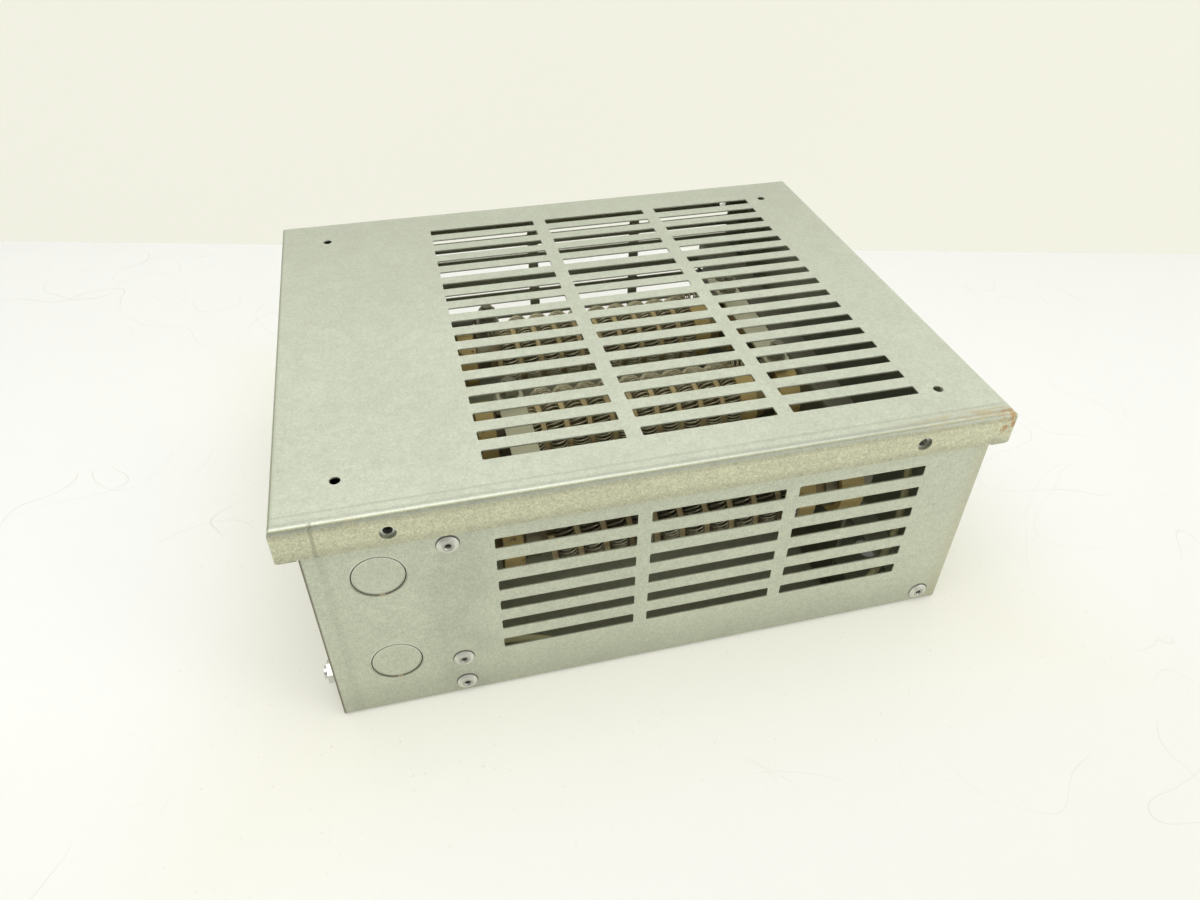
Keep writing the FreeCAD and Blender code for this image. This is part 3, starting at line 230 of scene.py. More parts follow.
class Shader:
    """One material's node tree, with short calls for the nodes that this script uses."""

    def __init__(self, name):
        self.material = bpy.data.materials.new(name)
        self.material.use_nodes = True
        self.tree = self.material.node_tree
        self.tree.nodes.clear()
        self.output = self.add("ShaderNodeOutputMaterial")
        self.bsdf = self.add("ShaderNodeBsdfPrincipled")
        self.join(self.bsdf.outputs[0], self.output.inputs[0])
        self.place = self.add("ShaderNodeTexCoord").outputs["Object"]
        self.x, self.y, self.z = self.split(self.place)

    def add(self, kind):
        return self.tree.nodes.new(kind)

    def join(self, source, socket):
        """Link a node's output to a socket, or set the socket to a plain value."""
        if isinstance(source, bpy.types.NodeSocket):
            self.tree.links.new(source, socket)
        else:
            socket.default_value = source

    def split(self, vector):
        """The X, Y and Z of a vector."""
        axes = self.add("ShaderNodeSeparateXYZ")
        self.join(vector, axes.inputs[0])
        return axes.outputs

    def math(self, operation, a, b=0.0, clamp=False):
        node = self.add("ShaderNodeMath")
        node.operation = operation
        node.use_clamp = clamp
        self.join(a, node.inputs[0])
        self.join(b, node.inputs[1])
        return node.outputs[0]

    def plus(self, a, b):
        return self.math("ADD", a, b)

    def minus(self, a, b):
        return self.math("SUBTRACT", a, b)

    def times(self, a, b):
        return self.math("MULTIPLY", a, b)

    def smooth(self, value, low, high):
        """0 at low, 1 at high, smooth between and level beyond; low may be above high."""
        node = self.add("ShaderNodeMapRange")
        node.interpolation_type = "SMOOTHSTEP"
        self.join(value, node.inputs[0])
        flip = low > high
        for socket, number in zip(node.inputs[1:5], (high, low, 1, 0) if flip else (low, high, 0, 1)):
            socket.default_value = number
        return node.outputs[0]

    def band(self, value, centre, half, soft):
        """1 inside a band about centre, fading out over soft on each side."""
        away = self.math("ABSOLUTE", self.minus(value, centre))
        return self.smooth(away, half + soft, half)

    def both(self, *masks):
        """The product of several masks."""
        result = masks[0]
        for mask in masks[1:]:
            result = self.times(result, mask)
        return result

    def largest(self, *values):
        """The largest of several values."""
        result = values[0]
        for value in values[1:]:
            result = self.math("MAXIMUM", result, value)
        return result

    def spot(self, centre, radius, soft, axes="xz"):
        """1 inside a round spot seen along the third axis."""
        total = None
        for axis, middle in zip(axes, centre):
            away = self.minus(getattr(self, axis), middle)
            square = self.times(away, away)
            total = square if total is None else self.plus(total, square)
        return self.smooth(self.math("SQRT", total), radius + soft, radius)

    def noise(self, scale, detail=2.0, roughness=0.5, stretch=None):
        """Noise with scale in cells per metre; stretch squeezes it along X, Y and Z."""
        node = self.add("ShaderNodeTexNoise")
        self.join(self.stretched(stretch), node.inputs["Vector"])
        node.inputs["Scale"].default_value = scale
        node.inputs["Detail"].default_value = detail
        node.inputs["Roughness"].default_value = roughness
        return node.outputs[0]

    def stretched(self, stretch):
        """The place on the object, squeezed along X, Y and Z."""
        if not stretch:
            return self.place
        node = self.add("ShaderNodeMapping")
        self.join(self.place, node.inputs[0])
        node.inputs["Scale"].default_value = stretch
        return node.outputs[0]

    def cells(self, scale):
        """A random grey for each cell of a Voronoi pattern."""
        node = self.add("ShaderNodeTexVoronoi")
        self.join(self.place, node.inputs["Vector"])
        node.inputs["Scale"].default_value = scale
        split = self.add("ShaderNodeSeparateColor")
        self.join(node.outputs["Color"], split.inputs[0])
        return split.outputs[0]

    def mix(self, factor, a, b, blend="MIX"):
        node = self.add("ShaderNodeMix")
        node.data_type = "RGBA"
        node.blend_type = blend
        self.join(factor, node.inputs[0])
        self.join(colour(a), node.inputs[6])
        self.join(colour(b), node.inputs[7])
        return node.outputs[2]

    def stain(self, base, mask, amount, paint):
        """Lay paint over a colour where the mask is, at most by amount."""
        return self.mix(self.times(mask, amount), base, paint)

    def shade(self, base, mask, low, high):
        """Multiply a colour by a grey that runs from low to high with the mask."""
        grey = self.span(mask, low, high)
        combine = self.add("ShaderNodeCombineColor")
        for socket in combine.inputs[:3]:
            self.join(grey, socket)
        return self.mix(1.0, base, combine.outputs[0], "MULTIPLY")

    def span(self, mask, low, high):
        """Map a 0 to 1 mask onto a range."""
        node = self.add("ShaderNodeMapRange")
        self.join(mask, node.inputs[0])
        node.inputs[3].default_value = low
        node.inputs[4].default_value = high
        return node.outputs[0]

    def bump(self, height, distance, strength=1.0, before=None):
        node = self.add("ShaderNodeBump")
        node.inputs["Strength"].default_value = strength
        node.inputs["Distance"].default_value = distance
        self.join(height, node.inputs["Height"])
        if before:
            self.join(before, node.inputs["Normal"])
        return node.outputs[0]

    def finish(self, base, roughness, metallic, normal=None):
        self.join(colour(base), self.bsdf.inputs["Base Color"])
        self.join(roughness, self.bsdf.inputs["Roughness"])
        self.bsdf.inputs["Metallic"].default_value = metallic
        if normal:
            self.join(normal, self.bsdf.inputs["Normal"])
        return self.material


def colour(value):
    """A plain colour as four numbers; a socket passes through."""
    if isinstance(value, bpy.types.NodeSocket) or len(value) == 4:
        return value
    return (*value, 1.0)


# Places taken from the frame

def element_axis(label):
    """Y and Z of one element's axis."""
    low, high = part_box("ceramic_core_%s" % label)
    return (low[1] + high[1]) / 2, (low[2] + high[2]) / 2


def knockouts():
    """X, Z and radius of each knockout in the front wall, from the record's mounts."""
    found = [mount for mount in frame["record"]["mounts"] if mount["name"].endswith("_knockout")]
    return [(mount["pos_m"][0], mount["pos_m"][2], mount["dims"]["r_mm"] * MM) for mount in found]


def rivet_places():
    """X and Z of each of the front wall's rivets, from the solids' foremost points."""
    mesh = frame["nodes"]["case_rivets"].data
    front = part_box("case_rivets")[0][1] + 0.4 * MM
    groups = []
    for tip in [vertex.co for vertex in mesh.vertices if vertex.co.y < front]:
        for group in groups:
            if (group[0] - tip).length < 8 * MM:
                group.append(tip)
                break
        else:
            groups.append([tip])
    return [np.mean([(tip.x, tip.z) for tip in group], axis=0).tolist() for group in groups]


# Sheet metal

def galvanised_surface(shader, base, contrast=inside_contrast, facing=None):
    """Clouding, spangle and grain of dipped zinc, with painted glints; returns the colour, roughness and
    normal.
    """
    clouds = shader.noise(11, 3, 0.6)
    patches = shader.noise(70, 3, 0.55)
    spangle = shader.cells(300)
    speckle = shader.noise(1350, 3, 0.6)
    mottle = shader.times(shader.minus(shader.noise(560, 2, 0.5), 0.5), contrast)
    grain = shader.times(shader.minus(speckle, 0.5), contrast)
    grain = shader.plus(grain, shader.times(mottle, 0.35))
    tone = shader.shade(base, clouds, 0.93, 1.07)
    tone = shader.shade(tone, patches, 0.95, 1.05)
    tone = shader.shade(tone, spangle, 0.96, 1.04)
    tone = shader.shade(tone, shader.times(shader.plus(grain, 1.0), 0.5), 0, 2)
    # Painted glints: fine specks mixed toward the pale highlight grey
    glints = shader.smooth(shader.noise(1150, 2, 0.6), 0.57, 0.72)
    painted_glints = shader.both(glints, shader.span(patches, 0.1, 0.9))
    painted_glints = shader.math("MULTIPLY", painted_glints, shader.times(contrast, 0.55), clamp=True)
    tone = shader.mix(painted_glints, tone, painted_highlight_grey)
    roughness = shader.span(spangle, 0.44, 0.56)
    height = shader.plus(shader.times(speckle, 0.6), shader.times(patches, 0.8))
    return tone, roughness, shader.bump(height, 0.12 * MM, 0.5, facing)


def inner_side(shader, *faces):
    """1 past the middle of a folded sheet's thickness; a face is its axis, its place and its inward sign."""
    masks = []
    for value, outside, inward in faces:
        middle = outside + inward * sheet_thickness / 2
        soft = inward * sheet_thickness / 10
        masks.append(shader.smooth(value, middle - soft, middle + soft))
    return shader.both(*masks)


def galvanised(name, base):
    """Plain galvanised sheet for the pieces inside, in the base colour given; the inside and bracket greys
    are painted shade.
    """
    shader = Shader(name)
    tone, roughness, normal = galvanised_surface(shader, base)
    return shader.finish(tone, roughness, sheet_metallic, normal)


# Lid

def wide_fold(shader, low, high):
    """Normals that turn from up to forward over a wide, soft bend along the lid's front edge."""
    from_top = shader.minus(high[2], shader.z)
    from_front = shader.minus(shader.y, low[1])
    share = shader.plus(shader.minus(from_top, from_front), fold_reach)
    turn = shader.times(shader.span(shader.math("DIVIDE", share, 2 * fold_reach), 0, 1), math.pi / 2)
    bent = shader.add("ShaderNodeCombineXYZ")
    shader.join(shader.times(shader.math("SINE", turn), -1.0), bent.inputs[1])
    shader.join(shader.math("COSINE", turn), bent.inputs[2])
    true_normal = shader.add("ShaderNodeNewGeometry").outputs["Normal"]
    faces = shader.split(true_normal)
    outward = shader.smooth(shader.minus(faces[2], faces[1]), 0.3, 0.5)
    faded = fold_reach + fold_fade
    near = shader.both(outward, shader.smooth(from_front, faded, fold_reach),
                       shader.smooth(from_top, faded, fold_reach))
    blend = shader.add("ShaderNodeMix")
    blend.data_type = "VECTOR"
    shader.join(near, blend.inputs[0])
    shader.join(true_normal, blend.inputs[4])
    shader.join(bent.outputs[0], blend.inputs[5])
    return blend.outputs[1]


def fold_tone(shader, low, high):
    """The grey that the lid's colour is multiplied by across its front fold: a painted highlight with painted
    shade on each side of it.
    """
    past = shader.minus(shader.minus(high[2], shader.z), shader.minus(shader.y, low[1]))
    first, last = fold_tones[0][0], fold_tones[-1][0]
    share = shader.math("DIVIDE", shader.minus(past, first * MM), (last - first) * MM)
    node = shader.add("ShaderNodeValToRGB")
    ramp = node.color_ramp
    while len(ramp.elements) < len(fold_tones):
        ramp.elements.new(0.5)
    for stop, (place, tone) in zip(ramp.elements, fold_tones):
        stop.position = (place - first) / (last - first)
        stop.color = (*[tone / brightest_fold_tone] * 3, 1.0)
    shader.join(share, node.inputs[0])
    return shader.mix(1.0, node.outputs[0], [brightest_fold_tone] * 3, "MULTIPLY")


def lid_base(shader, low, high, on_flange, near_front):
    """The lid's clean colours: top, flanges, a painted highlight along the fold, painted shade toward the
    back, and painted shade on the side that looks inward.
    """
    base = shader.mix(on_flange, sheet_grey, sheet_warm)
    # Painted highlight, streaked, along the top of the front fold
    fold = shader.both(shader.band(shader.z, high[2] - 0.5 * MM, 0.5 * MM, 0.6 * MM), near_front)
    streaks = shader.noise(120, 4, 0.7, stretch=(0.5, 1, 1))
    base = shader.mix(shader.both(fold, shader.span(streaks, 0.0, 0.3)), base, painted_highlight_grey)
    # Painted shade, darker toward the back
    base = shader.shade(base, shader.smooth(shader.y, lid_shade_start, high[1]), 1.0, lid_back_shade)
    # Painted shade on the lid's inner faces
    inner = inner_side(shader, (shader.x, low[0], 1), (shader.x, high[0], -1), (shader.y, low[1], 1),
                       (shader.y, high[1], -1), (shader.z, high[2], -1))
    return shader.mix(inner, base, sheet_inside_shade)


def lid_stains(shader, tone, low, high):
    """Rust along the front fold and on top of it, strongest at the right front corner."""
    blotch = shader.smooth(shader.noise(210, 4, 0.65, stretch=(0.6, 1, 1)), 0.50, 0.68)
    front = shader.smooth(shader.y, low[1] + 4.5 * MM, low[1] + 2.5 * MM)
    upper = shader.band(shader.z, high[2] - 1.8 * MM, 2.2 * MM, 1.5 * MM)
    right = shader.smooth(shader.x, high[0] - lid_right_stain_reach, high[0] - 8 * MM)
    left = shader.band(shader.x, low[0] + lid_left_stain_inset, 12 * MM, 10 * MM)
    along = shader.both(blotch, front, upper, shader.largest(right, shader.times(left, 0.6)))
    tone = shader.stain(tone, along, 0.5, rust_tan)
    over = shader.both(shader.smooth(shader.noise(130, 4, 0.65, stretch=(0.5, 1.4, 1)), 0.46, 0.57),
                       shader.band(shader.y, low[1] + 3.4 * MM, 1.6 * MM, 1.6 * MM),
                       shader.smooth(shader.z, high[2] - 1.2 * MM, high[2] - 0.4 * MM), right)
    tone = shader.stain(tone, over, 0.7, rust_tan)
    corner = shader.spot((high[0] - 3 * MM, high[2] - 4 * MM), 3.5 * MM, 6 * MM)
    loose = shader.smooth(shader.noise(260, 4, 0.65), 0.42, 0.60)
    return shader.stain(tone, shader.both(corner, loose, front), 0.8, rust_orange)


def lid_material():
    """The lid: cool grey on top, warmer on the flanges, with a painted highlight and painted shade across the
    front fold, stains and handling marks.
    """
    low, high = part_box("lid")
    shader = Shader("galvanised_lid")
    on_flange = shader.smooth(shader.z, high[2] - 1.2 * MM, high[2] - 3.0 * MM)
    near_front = shader.smooth(shader.y, low[1] + 3.0 * MM, low[1] + 1.6 * MM)
    base = lid_base(shader, low, high, on_flange, near_front)
    contrast = shader.span(on_flange, lid_top_contrast, lid_flange_contrast)
    tone, roughness, normal = galvanised_surface(shader, base, contrast, wide_fold(shader, low, high))
    lower_edge = shader.smooth(shader.z, low[2] + 7.0 * MM, low[2] + 2.5 * MM)
    tone = shader.mix(shader.both(lower_edge, on_flange), tone, shader.shade(tone, on_flange, 1, 0.84))
    # Painted highlight and shade across the front fold
    by_fold = shader.smooth(shader.y, low[1] + 6 * MM, low[1] + 5 * MM)
    tone = shader.mix(by_fold, tone, shader.mix(1.0, tone, fold_tone(shader, low, high), "MULTIPLY"))
    tone = lid_stains(shader, tone, low, high)
    crease = shader.both(shader.band(shader.x, low[0] + lid_crease_inset, 0.3 * MM, 0.8 * MM), near_front)
    tone = shader.stain(tone, crease, 0.35, grime_and_shade)
    die_mark = shader.both(shader.band(shader.y, low[1] + lid_die_mark_inset, 0.3 * MM, 0.9 * MM),
                           shader.smooth(shader.z, high[2] - 1.0 * MM, high[2] - 0.2 * MM))
    tone = shader.stain(tone, die_mark, 0.16, grime_and_shade)
    height = shader.plus(crease, shader.times(die_mark, 0.4))
    normal = shader.bump(height, -0.25 * MM, 0.7, normal)
    return shader.finish(tone, roughness, sheet_metallic, normal)


# Case

def wall_marks_and_shade(shader, tone, low, high):
    """Painted shade of a shallow dimple beside the rivets, painted shade toward the bottom, heat tint at the
    right edge, a witness mark and painted shade at the left bend.
    """
    dimple_noise = shader.smooth(shader.noise(26, 3, 0.6), 0.36, 0.62)
    seam_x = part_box("partition")[1][0] - dimple_shade_setback
    # Painted shade of a shallow dimple along the rivet line
    seam_shade = shader.both(shader.band(shader.x, seam_x, 8 * MM, 16 * MM), dimple_noise)
    tone = shader.mix(seam_shade, tone, shader.shade(tone, seam_shade, 1, 0.9))
    # Painted shade, darker towards the bottom
    tone = shader.stain(tone, shader.smooth(shader.z, low[2] + wall_lower_shade_height, low[2]), 0.22, grime_and_shade)
    streak = shader.noise(60, 3, 0.6, stretch=(1, 1, 0.12))
    right_edge = shader.smooth(shader.x, high[0] - wall_heat_tint_width, high[0] - 1 * MM)
    tone = shader.stain(tone, shader.both(right_edge, streak), 0.55, rust_tan)
    witness = shader.band(shader.x, low[0] + wall_witness_inset, 0.6 * MM, 2.2 * MM)
    tone = shader.stain(tone, shader.both(witness, streak), 0.22, grime_and_shade)
    # Painted shade along the rounded left bend
    left_edge = shader.smooth(shader.x, low[0] + 1.2 * MM, low[0] + 0.4 * MM)
    return shader.stain(tone, left_edge, 0.8, left_bend_shade)


def knockout_rim(shader, tone, x, z, radius):
    """A knockout's rim with painted shade below and a painted highlight above, and a tan spot at its tab."""
    rim = shader.minus(shader.spot((x, z), radius + 0.7 * MM, 0.5 * MM),
                       shader.spot((x, z), radius - 1.3 * MM, 0.8 * MM))
    below = shader.smooth(shader.z, z + 3 * MM, z - 9 * MM)
    above = shader.smooth(shader.z, z - 2 * MM, z + 8 * MM)
    # Painted shade on the rim's lower part and a painted highlight on its upper part
    tone = shader.stain(tone, shader.both(rim, below), 0.7, grime_and_shade)
    tone = shader.stain(tone, shader.both(rim, above), 0.55, painted_highlight_grey)
    return shader.stain(tone, shader.spot((x, z - radius), 1.0 * MM, 0.8 * MM), 0.35, rust_tan)


def wall_material():
    """The case: grey outside, painted shade on the inner faces, beside the rivets, toward the bottom and
    along the left bend, heat tint, painted shadow rings round the rivets, and the knockouts' rims with
    painted shade below and a painted highlight above.
    """
    low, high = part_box("case_wrap")
    shader = Shader("galvanised_case")
    # Painted shade on the case's inner faces
    inner = inner_side(shader, (shader.y, low[1], 1), (shader.y, high[1], -1), (shader.z, low[2], 1))
    base = shader.mix(inner, wall_grey, sheet_inside_shade)
    tone, roughness, normal = galvanised_surface(shader, base, wall_contrast)
    tone = wall_marks_and_shade(shader, tone, low, high)
    for x, z in rivet_places():
        # Painted shadow: a dark disc under each dome, set a little high so that it shows as a ring above it
        tone = shader.stain(tone, shader.spot((x, z + 0.5 * MM), rivet_shadow_radius, 0.5 * MM), 0.85, rivet_shadow_tone)
    for x, z, radius in knockouts():
        tone = knockout_rim(shader, tone, x, z, radius)
    return shader.finish(tone, roughness, sheet_metallic, normal)


def rivet_metal(name):
    """Dull aluminium domes, with painted shade in the mandrel's hollow and over the dome's upper part."""
    shader = Shader(name)
    clouds = shader.noise(300, 3, 0.6)
    base = shader.mix(clouds, *rivet_aluminium)
    for x, z in rivet_places():
        # Painted shade in the hollow and over the dome's upper part
        hollow = shader.spot((x, z), rivet_hollow_radius, 0.7 * MM)
        base = shader.stain(base, hollow, 0.45, rivet_hollow_shade)
        above = shader.both(shader.spot((x, z + 2.6 * MM), 2.6 * MM, 1.2 * MM), shader.span(hollow, 1, 0))
        base = shader.stain(base, above, 0.25, rivet_upper_shade)
    return shader.finish(base, 0.38, 0.6, shader.bump(clouds, 0.05 * MM, 0.5))


# Elements, wiring and small hardware

def shaded_front(shader):
    """1 on the lower front of the front element, which faces the wall closely."""
    axis_y, axis_z = element_axis("front")
    return shader.both(shader.smooth(shader.y, axis_y - 5 * MM, axis_y - 11 * MM),
                       shader.smooth(shader.z, axis_z + 19 * MM, axis_z + 12 * MM))


def near_axis(shader, radius, soft):
    """1 within a radius of any element's axis."""
    masks = [shader.spot(element_axis(label), radius, soft, "yz") for label in element_labels]
    return shader.largest(*masks)


def ceramic(name):
    """Unglazed tan porcelain: dark specks, painted shade on the neck, paler ridges, painted shade on the body
    beneath the wire and on the front element's lower front.
    """
    shader = Shader(name)
    low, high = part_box("ceramic_core_front")
    grain = shader.noise(900, 3, 0.6)
    specks = shader.smooth(shader.noise(480, 2, 0.4), 0.66, 0.72)
    base = shader.mix(shader.noise(60, 4, 0.6), *porcelain)
    base = shader.shade(base, grain, 0.9, 1.1)
    base = shader.stain(base, specks, 0.6, porcelain_speck)
    collar = shader.smooth(shader.x, low[0] + collar_length + 0.4 * MM, low[0] + collar_length)
    marks = shader.smooth(shader.noise(150, 1, 0.3), 0.66, 0.70)
    base = shader.stain(base, shader.both(collar, marks), 0.7, collar_mark)
    # Painted shade on the bare neck
    neck = shader.band(shader.x, low[0] + neck_middle, 6.2 * MM, 0.6 * MM)
    base = shader.stain(base, neck, 0.6, neck_shade)
    ridges = shader.band(shader.x, (low[0] + high[0]) / 2, (high[0] - low[0]) / 2 - ridge_inset, 1 * MM)
    base = shader.stain(base, ridges, 0.6, ridge_tone)
    # Painted shade on the body beneath the wire
    beneath = near_axis(shader, core_body_radius, 1.4 * MM)
    base = shader.stain(base, beneath, 0.75, beneath_wire_shade)
    base = shader.shade(base, shaded_front(shader), 1.0, 0.72)
    return shader.finish(base, 0.62, 0.0, shader.bump(grain, 0.1 * MM, 0.4))


def wire_metal(name):
    """Drawn resistance wire with a brown and grey oxide film, with painted shade deep in the winding and on
    the front element's lower front.
    """
    shader = Shader(name)
    film = shader.noise(140, 3, 0.6)
    base = shader.mix(film, *wire_oxide)
    # Painted shade deep in the winding, close to the elements' axes
    base = shader.shade(base, near_axis(shader, wire_lit_radius, 2.6 * MM), 1.0, 0.38)
    base = shader.shade(base, shaded_front(shader), 1.0, 0.42)
    return shader.finish(base, shader.span(film, 0.42, 0.30), 0.7)


def clamp_metal(name):
    """Clamp bands darkened as painted shade, with brighter lugs above."""
    shader = Shader(name)
    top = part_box("left_terminal_clamp_front")[1][2]
    clouds = shader.noise(200, 3, 0.6)
    lug = shader.smooth(shader.z, top - 2.5 * MM, top - 1.2 * MM)
    base = shader.mix(lug, shader.mix(clouds, *clamp_band_shade), shader.mix(clouds, *clamp_plated))
    return shader.finish(base, shader.span(clouds, 0.35, 0.55), 0.8)


def bright_metal(name, tones, smoothest, roughest, metallic=0.9):
    """Plated or turned metal with slight cloudiness and fine scratches."""
    shader = Shader(name)
    clouds = shader.noise(160, 3, 0.6)
    scratches = shader.noise(1400, 2, 0.5, stretch=(0.08, 1, 1))
    base = shader.shade(shader.mix(clouds, *tones), scratches, 0.95, 1.05)
    normal = shader.bump(scratches, 0.03 * MM, 0.4)
    return shader.finish(base, shader.span(clouds, smoothest, roughest), metallic, normal)


def moulded(name, tones, roughness):
    """Moulded plastic or rubber with a fine grain."""
    shader = Shader(name)
    base = shader.mix(shader.noise(90, 3, 0.6), *tones)
    normal = shader.bump(shader.noise(1600, 2, 0.6), 0.05 * MM, 0.5)
    return shader.finish(base, roughness, 0.0, normal)


def sleeve(name, tones):
    """Braided glass sleeve over a lead, varnished."""
    shader = Shader(name)
    wave = shader.add("ShaderNodeTexWave")
    shader.join(shader.place, wave.inputs["Vector"])
    wave.wave_type = "BANDS"
    wave.bands_direction = "DIAGONAL"
    wave.inputs["Scale"].default_value = 900
    weave = shader.plus(shader.times(wave.outputs["Fac"], 0.6), shader.times(shader.noise(1100, 2, 0.6), 0.4))
    return shader.finish(shader.mix(weave, *tones), 0.55, 0.0, shader.bump(weave, 0.15 * MM, 0.6))


def named_looks():
    """The materials of the nodes that have one of their own."""
    dark_plastic = moulded("phenolic", phenolic, 0.45)
    yellow_metal = bright_metal("brass", brass, 0.3, 0.42)
    return {
        "lid": lid_material(),
        "case_wrap": wall_material(),
        "case_rivets": rivet_metal("rivet_aluminium"),
        "rear_lead": sleeve("dark_sleeve", dark_braid),
        "front_lead": sleeve("cream_sleeve", cream_braid),
        # Painted shade: the bracket's dark grey
        "element_bracket": galvanised("shaded_bracket", bracket_shade_grey),
        "right_end_panel": galvanised("end_panel_inside", panel_grey),
        "lead_lugs": bright_metal("tinned_copper", tinned_copper, 0.36, 0.5),
        "grommets": moulded("grommet_rubber", grommet_rubber, 0.7),
        "thermal_switch_cup": bright_metal("switch_cup_metal", switch_cup_metal, 0.3, 0.4),
        "thermal_switch_body": dark_plastic,
        "thermal_switch_tabs": yellow_metal,
        "terminal_block": dark_plastic,
        "terminal_block_strips": yellow_metal,
    }


def dress_nodes():
    """Give every carried-over node its material."""
    looks = named_looks()
    clay = ceramic("element_ceramic")
    clamp = clamp_metal("clamp_steel")
    # Painted shade: the pieces inside take the dark inside grey
    plain = galvanised("galvanised_inside_shade", sheet_inside_shade)
    plated = bright_metal("plated_steel", plated_steel, 0.34, 0.48, 0.7)
    aged = bright_metal("aged_zinc", aged_zinc, 0.38, 0.55, 0.8)
    zinc = bright_metal("zinc_plate", zinc_plate, 0.24, 0.36)
    for name, node in frame["nodes"].items():
        if name in looks:
            look = looks[name]
        elif name.startswith("ceramic_core") or name in ("left_spacers", "right_spacers", "end_rings"):
            look = clay
        elif name.endswith("_strap"):
            look = plated
        elif "_terminal_clamp_" in name:
            look = clamp
        elif name.startswith(("terminal_", "rod_")) or name.endswith("_rods"):
            look = aged
        elif name.endswith(("panel", "partition", "stand")):
            look = plain
        else:
            look = zinc
        set_material(node, look)


def set_material(piece, material):
    """Put one material in every slot of a piece."""
    if not piece.material_slots:
        piece.data.materials.append(material)
    for slot in piece.material_slots:
        slot.material = material


# Resistance coils

def coil_route(label):
    """The middle line of one coil as X, angle from the top to the front, distance from the element's axis
    and loop radius. The wire leaves the left clamp, runs in the groove, goes round once more while its
    loops shrink, then over the right collar to the right clamp."""
    core_low, core_high = (corner[0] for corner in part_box("ceramic_core_%s" % label))
    low, high = (corner[0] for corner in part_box("resistance_coil_%s" % label))
    start_x = core_low + coil_start_inset
    first, last = winding_angle, coil_end_angle + 360 * coil_whole_turns
    end_x = start_x + coil_pitch * (last - first) / 360
    after = 360 * (coil_whole_turns + 1) + tail_end_angle
    corner_x = core_high - tail_corner_inset
    stops = [
        (low, first, coil_centre_radius, tail_loop_radius),
        (start_x - 5 * MM, first, coil_centre_radius, tail_loop_radius),
        (start_x, first, coil_centre_radius, coil_loop_radius),
        (end_x, last, coil_centre_radius, coil_loop_radius),
        (end_x + 0.5 * MM, last + 40, coil_centre_radius, coil_loop_radius),
        (corner_x - 1 * MM, last + 150, coil_centre_radius + 1 * MM, tail_loop_radius + 0.6 * MM),
        (corner_x, after - 30, tail_height, tail_loop_radius + 0.3 * MM),
        (corner_x + 3 * MM, after, tail_height, tail_loop_radius),
        (high, after, tail_height - 1.5 * MM, tail_loop_radius),
    ]
    runs = []
    for here, there in zip(stops[:-1], stops[1:]):
        arc = math.radians(abs(there[1] - here[1])) * here[2]
        count = max(8, int(math.hypot(arc, there[0] - here[0]) / route_step))
        share = np.linspace(0, 1, count, endpoint=False)[:, None]
        runs.append(np.array(here) * (1 - share) + np.array(there) * share)
    runs.append(np.array([stops[-1]]))
    route = np.concatenate(runs)
    route[:, 1] = np.radians(route[:, 1])
    return smoothed(route, route_smoothing)


def smoothed(values, half_width):
    """A running mean that keeps the two end values."""
    kernel = np.hanning(2 * half_width + 1)
    kernel /= kernel.sum()
    padded = np.concatenate([np.repeat(values[:1], half_width, axis=0), values,
                             np.repeat(values[-1:], half_width, axis=0)])
    return np.stack([np.convolve(column, kernel, "valid") for column in padded.T], axis=1)


def loop_turns(lengths, loop):
    """Places along a coil's middle line and the spring's turn at each, a little unevenly spaced."""
    places, turns = [], []
    place, turn = 0.0, 0.0
    while place < lengths[-1]:
        radius = np.interp(place, lengths, loop)
        stretch = (coil_loop_radius - radius) / (coil_loop_radius - tail_loop_radius)
        pitch = loop_pitch + (tail_loop_pitch - loop_pitch) * stretch
        short, long = (math.sin(place / length) for length in unevenness_lengths)
        places.append(place)
        turns.append(turn)
        turn += 2 * math.pi / loop_steps
        place += pitch * (1 + loop_unevenness * short * long) / loop_steps
    return np.array(places), np.array(turns)


def wind_coil(label):
    """The resistance wire wound as a spring that itself runs in the core's helical groove."""
    axis_y, axis_z = element_axis(label)
    x, angle, away, loop = coil_route(label).T
    outward = np.stack([np.zeros_like(x), -np.sin(angle), np.cos(angle)], axis=1)
    middle = np.stack([x, axis_y + away * outward[:, 1], axis_z + away * outward[:, 2]], axis=1)
    lengths = np.concatenate([[0], np.cumsum(np.linalg.norm(np.diff(middle, axis=0), axis=1))])
    places, turns = loop_turns(lengths, loop)
    centre = np.stack([np.interp(places, lengths, column) for column in middle.T], axis=1)
    normal = np.stack([np.interp(places, lengths, column) for column in outward.T], axis=1)
    radii = np.interp(places, lengths, loop)
    tangent = unit(np.gradient(centre, axis=0))
    normal = unit(normal - tangent * np.sum(normal * tangent, axis=1)[:, None])
    side = np.cross(tangent, normal)
    sideways = coil_loop_widening * np.sin(turns)
    path = centre + radii[:, None] * (np.cos(turns)[:, None] * normal + sideways[:, None] * side)
    piece = wire_along("resistance_wire_%s" % label, path, coil_wire_radius, coil_wire_sides)
    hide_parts("resistance_coil_%s" % label)
    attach(piece, "case")
    return piece


def unit(vectors):
    return vectors / np.linalg.norm(vectors, axis=1)[:, None]


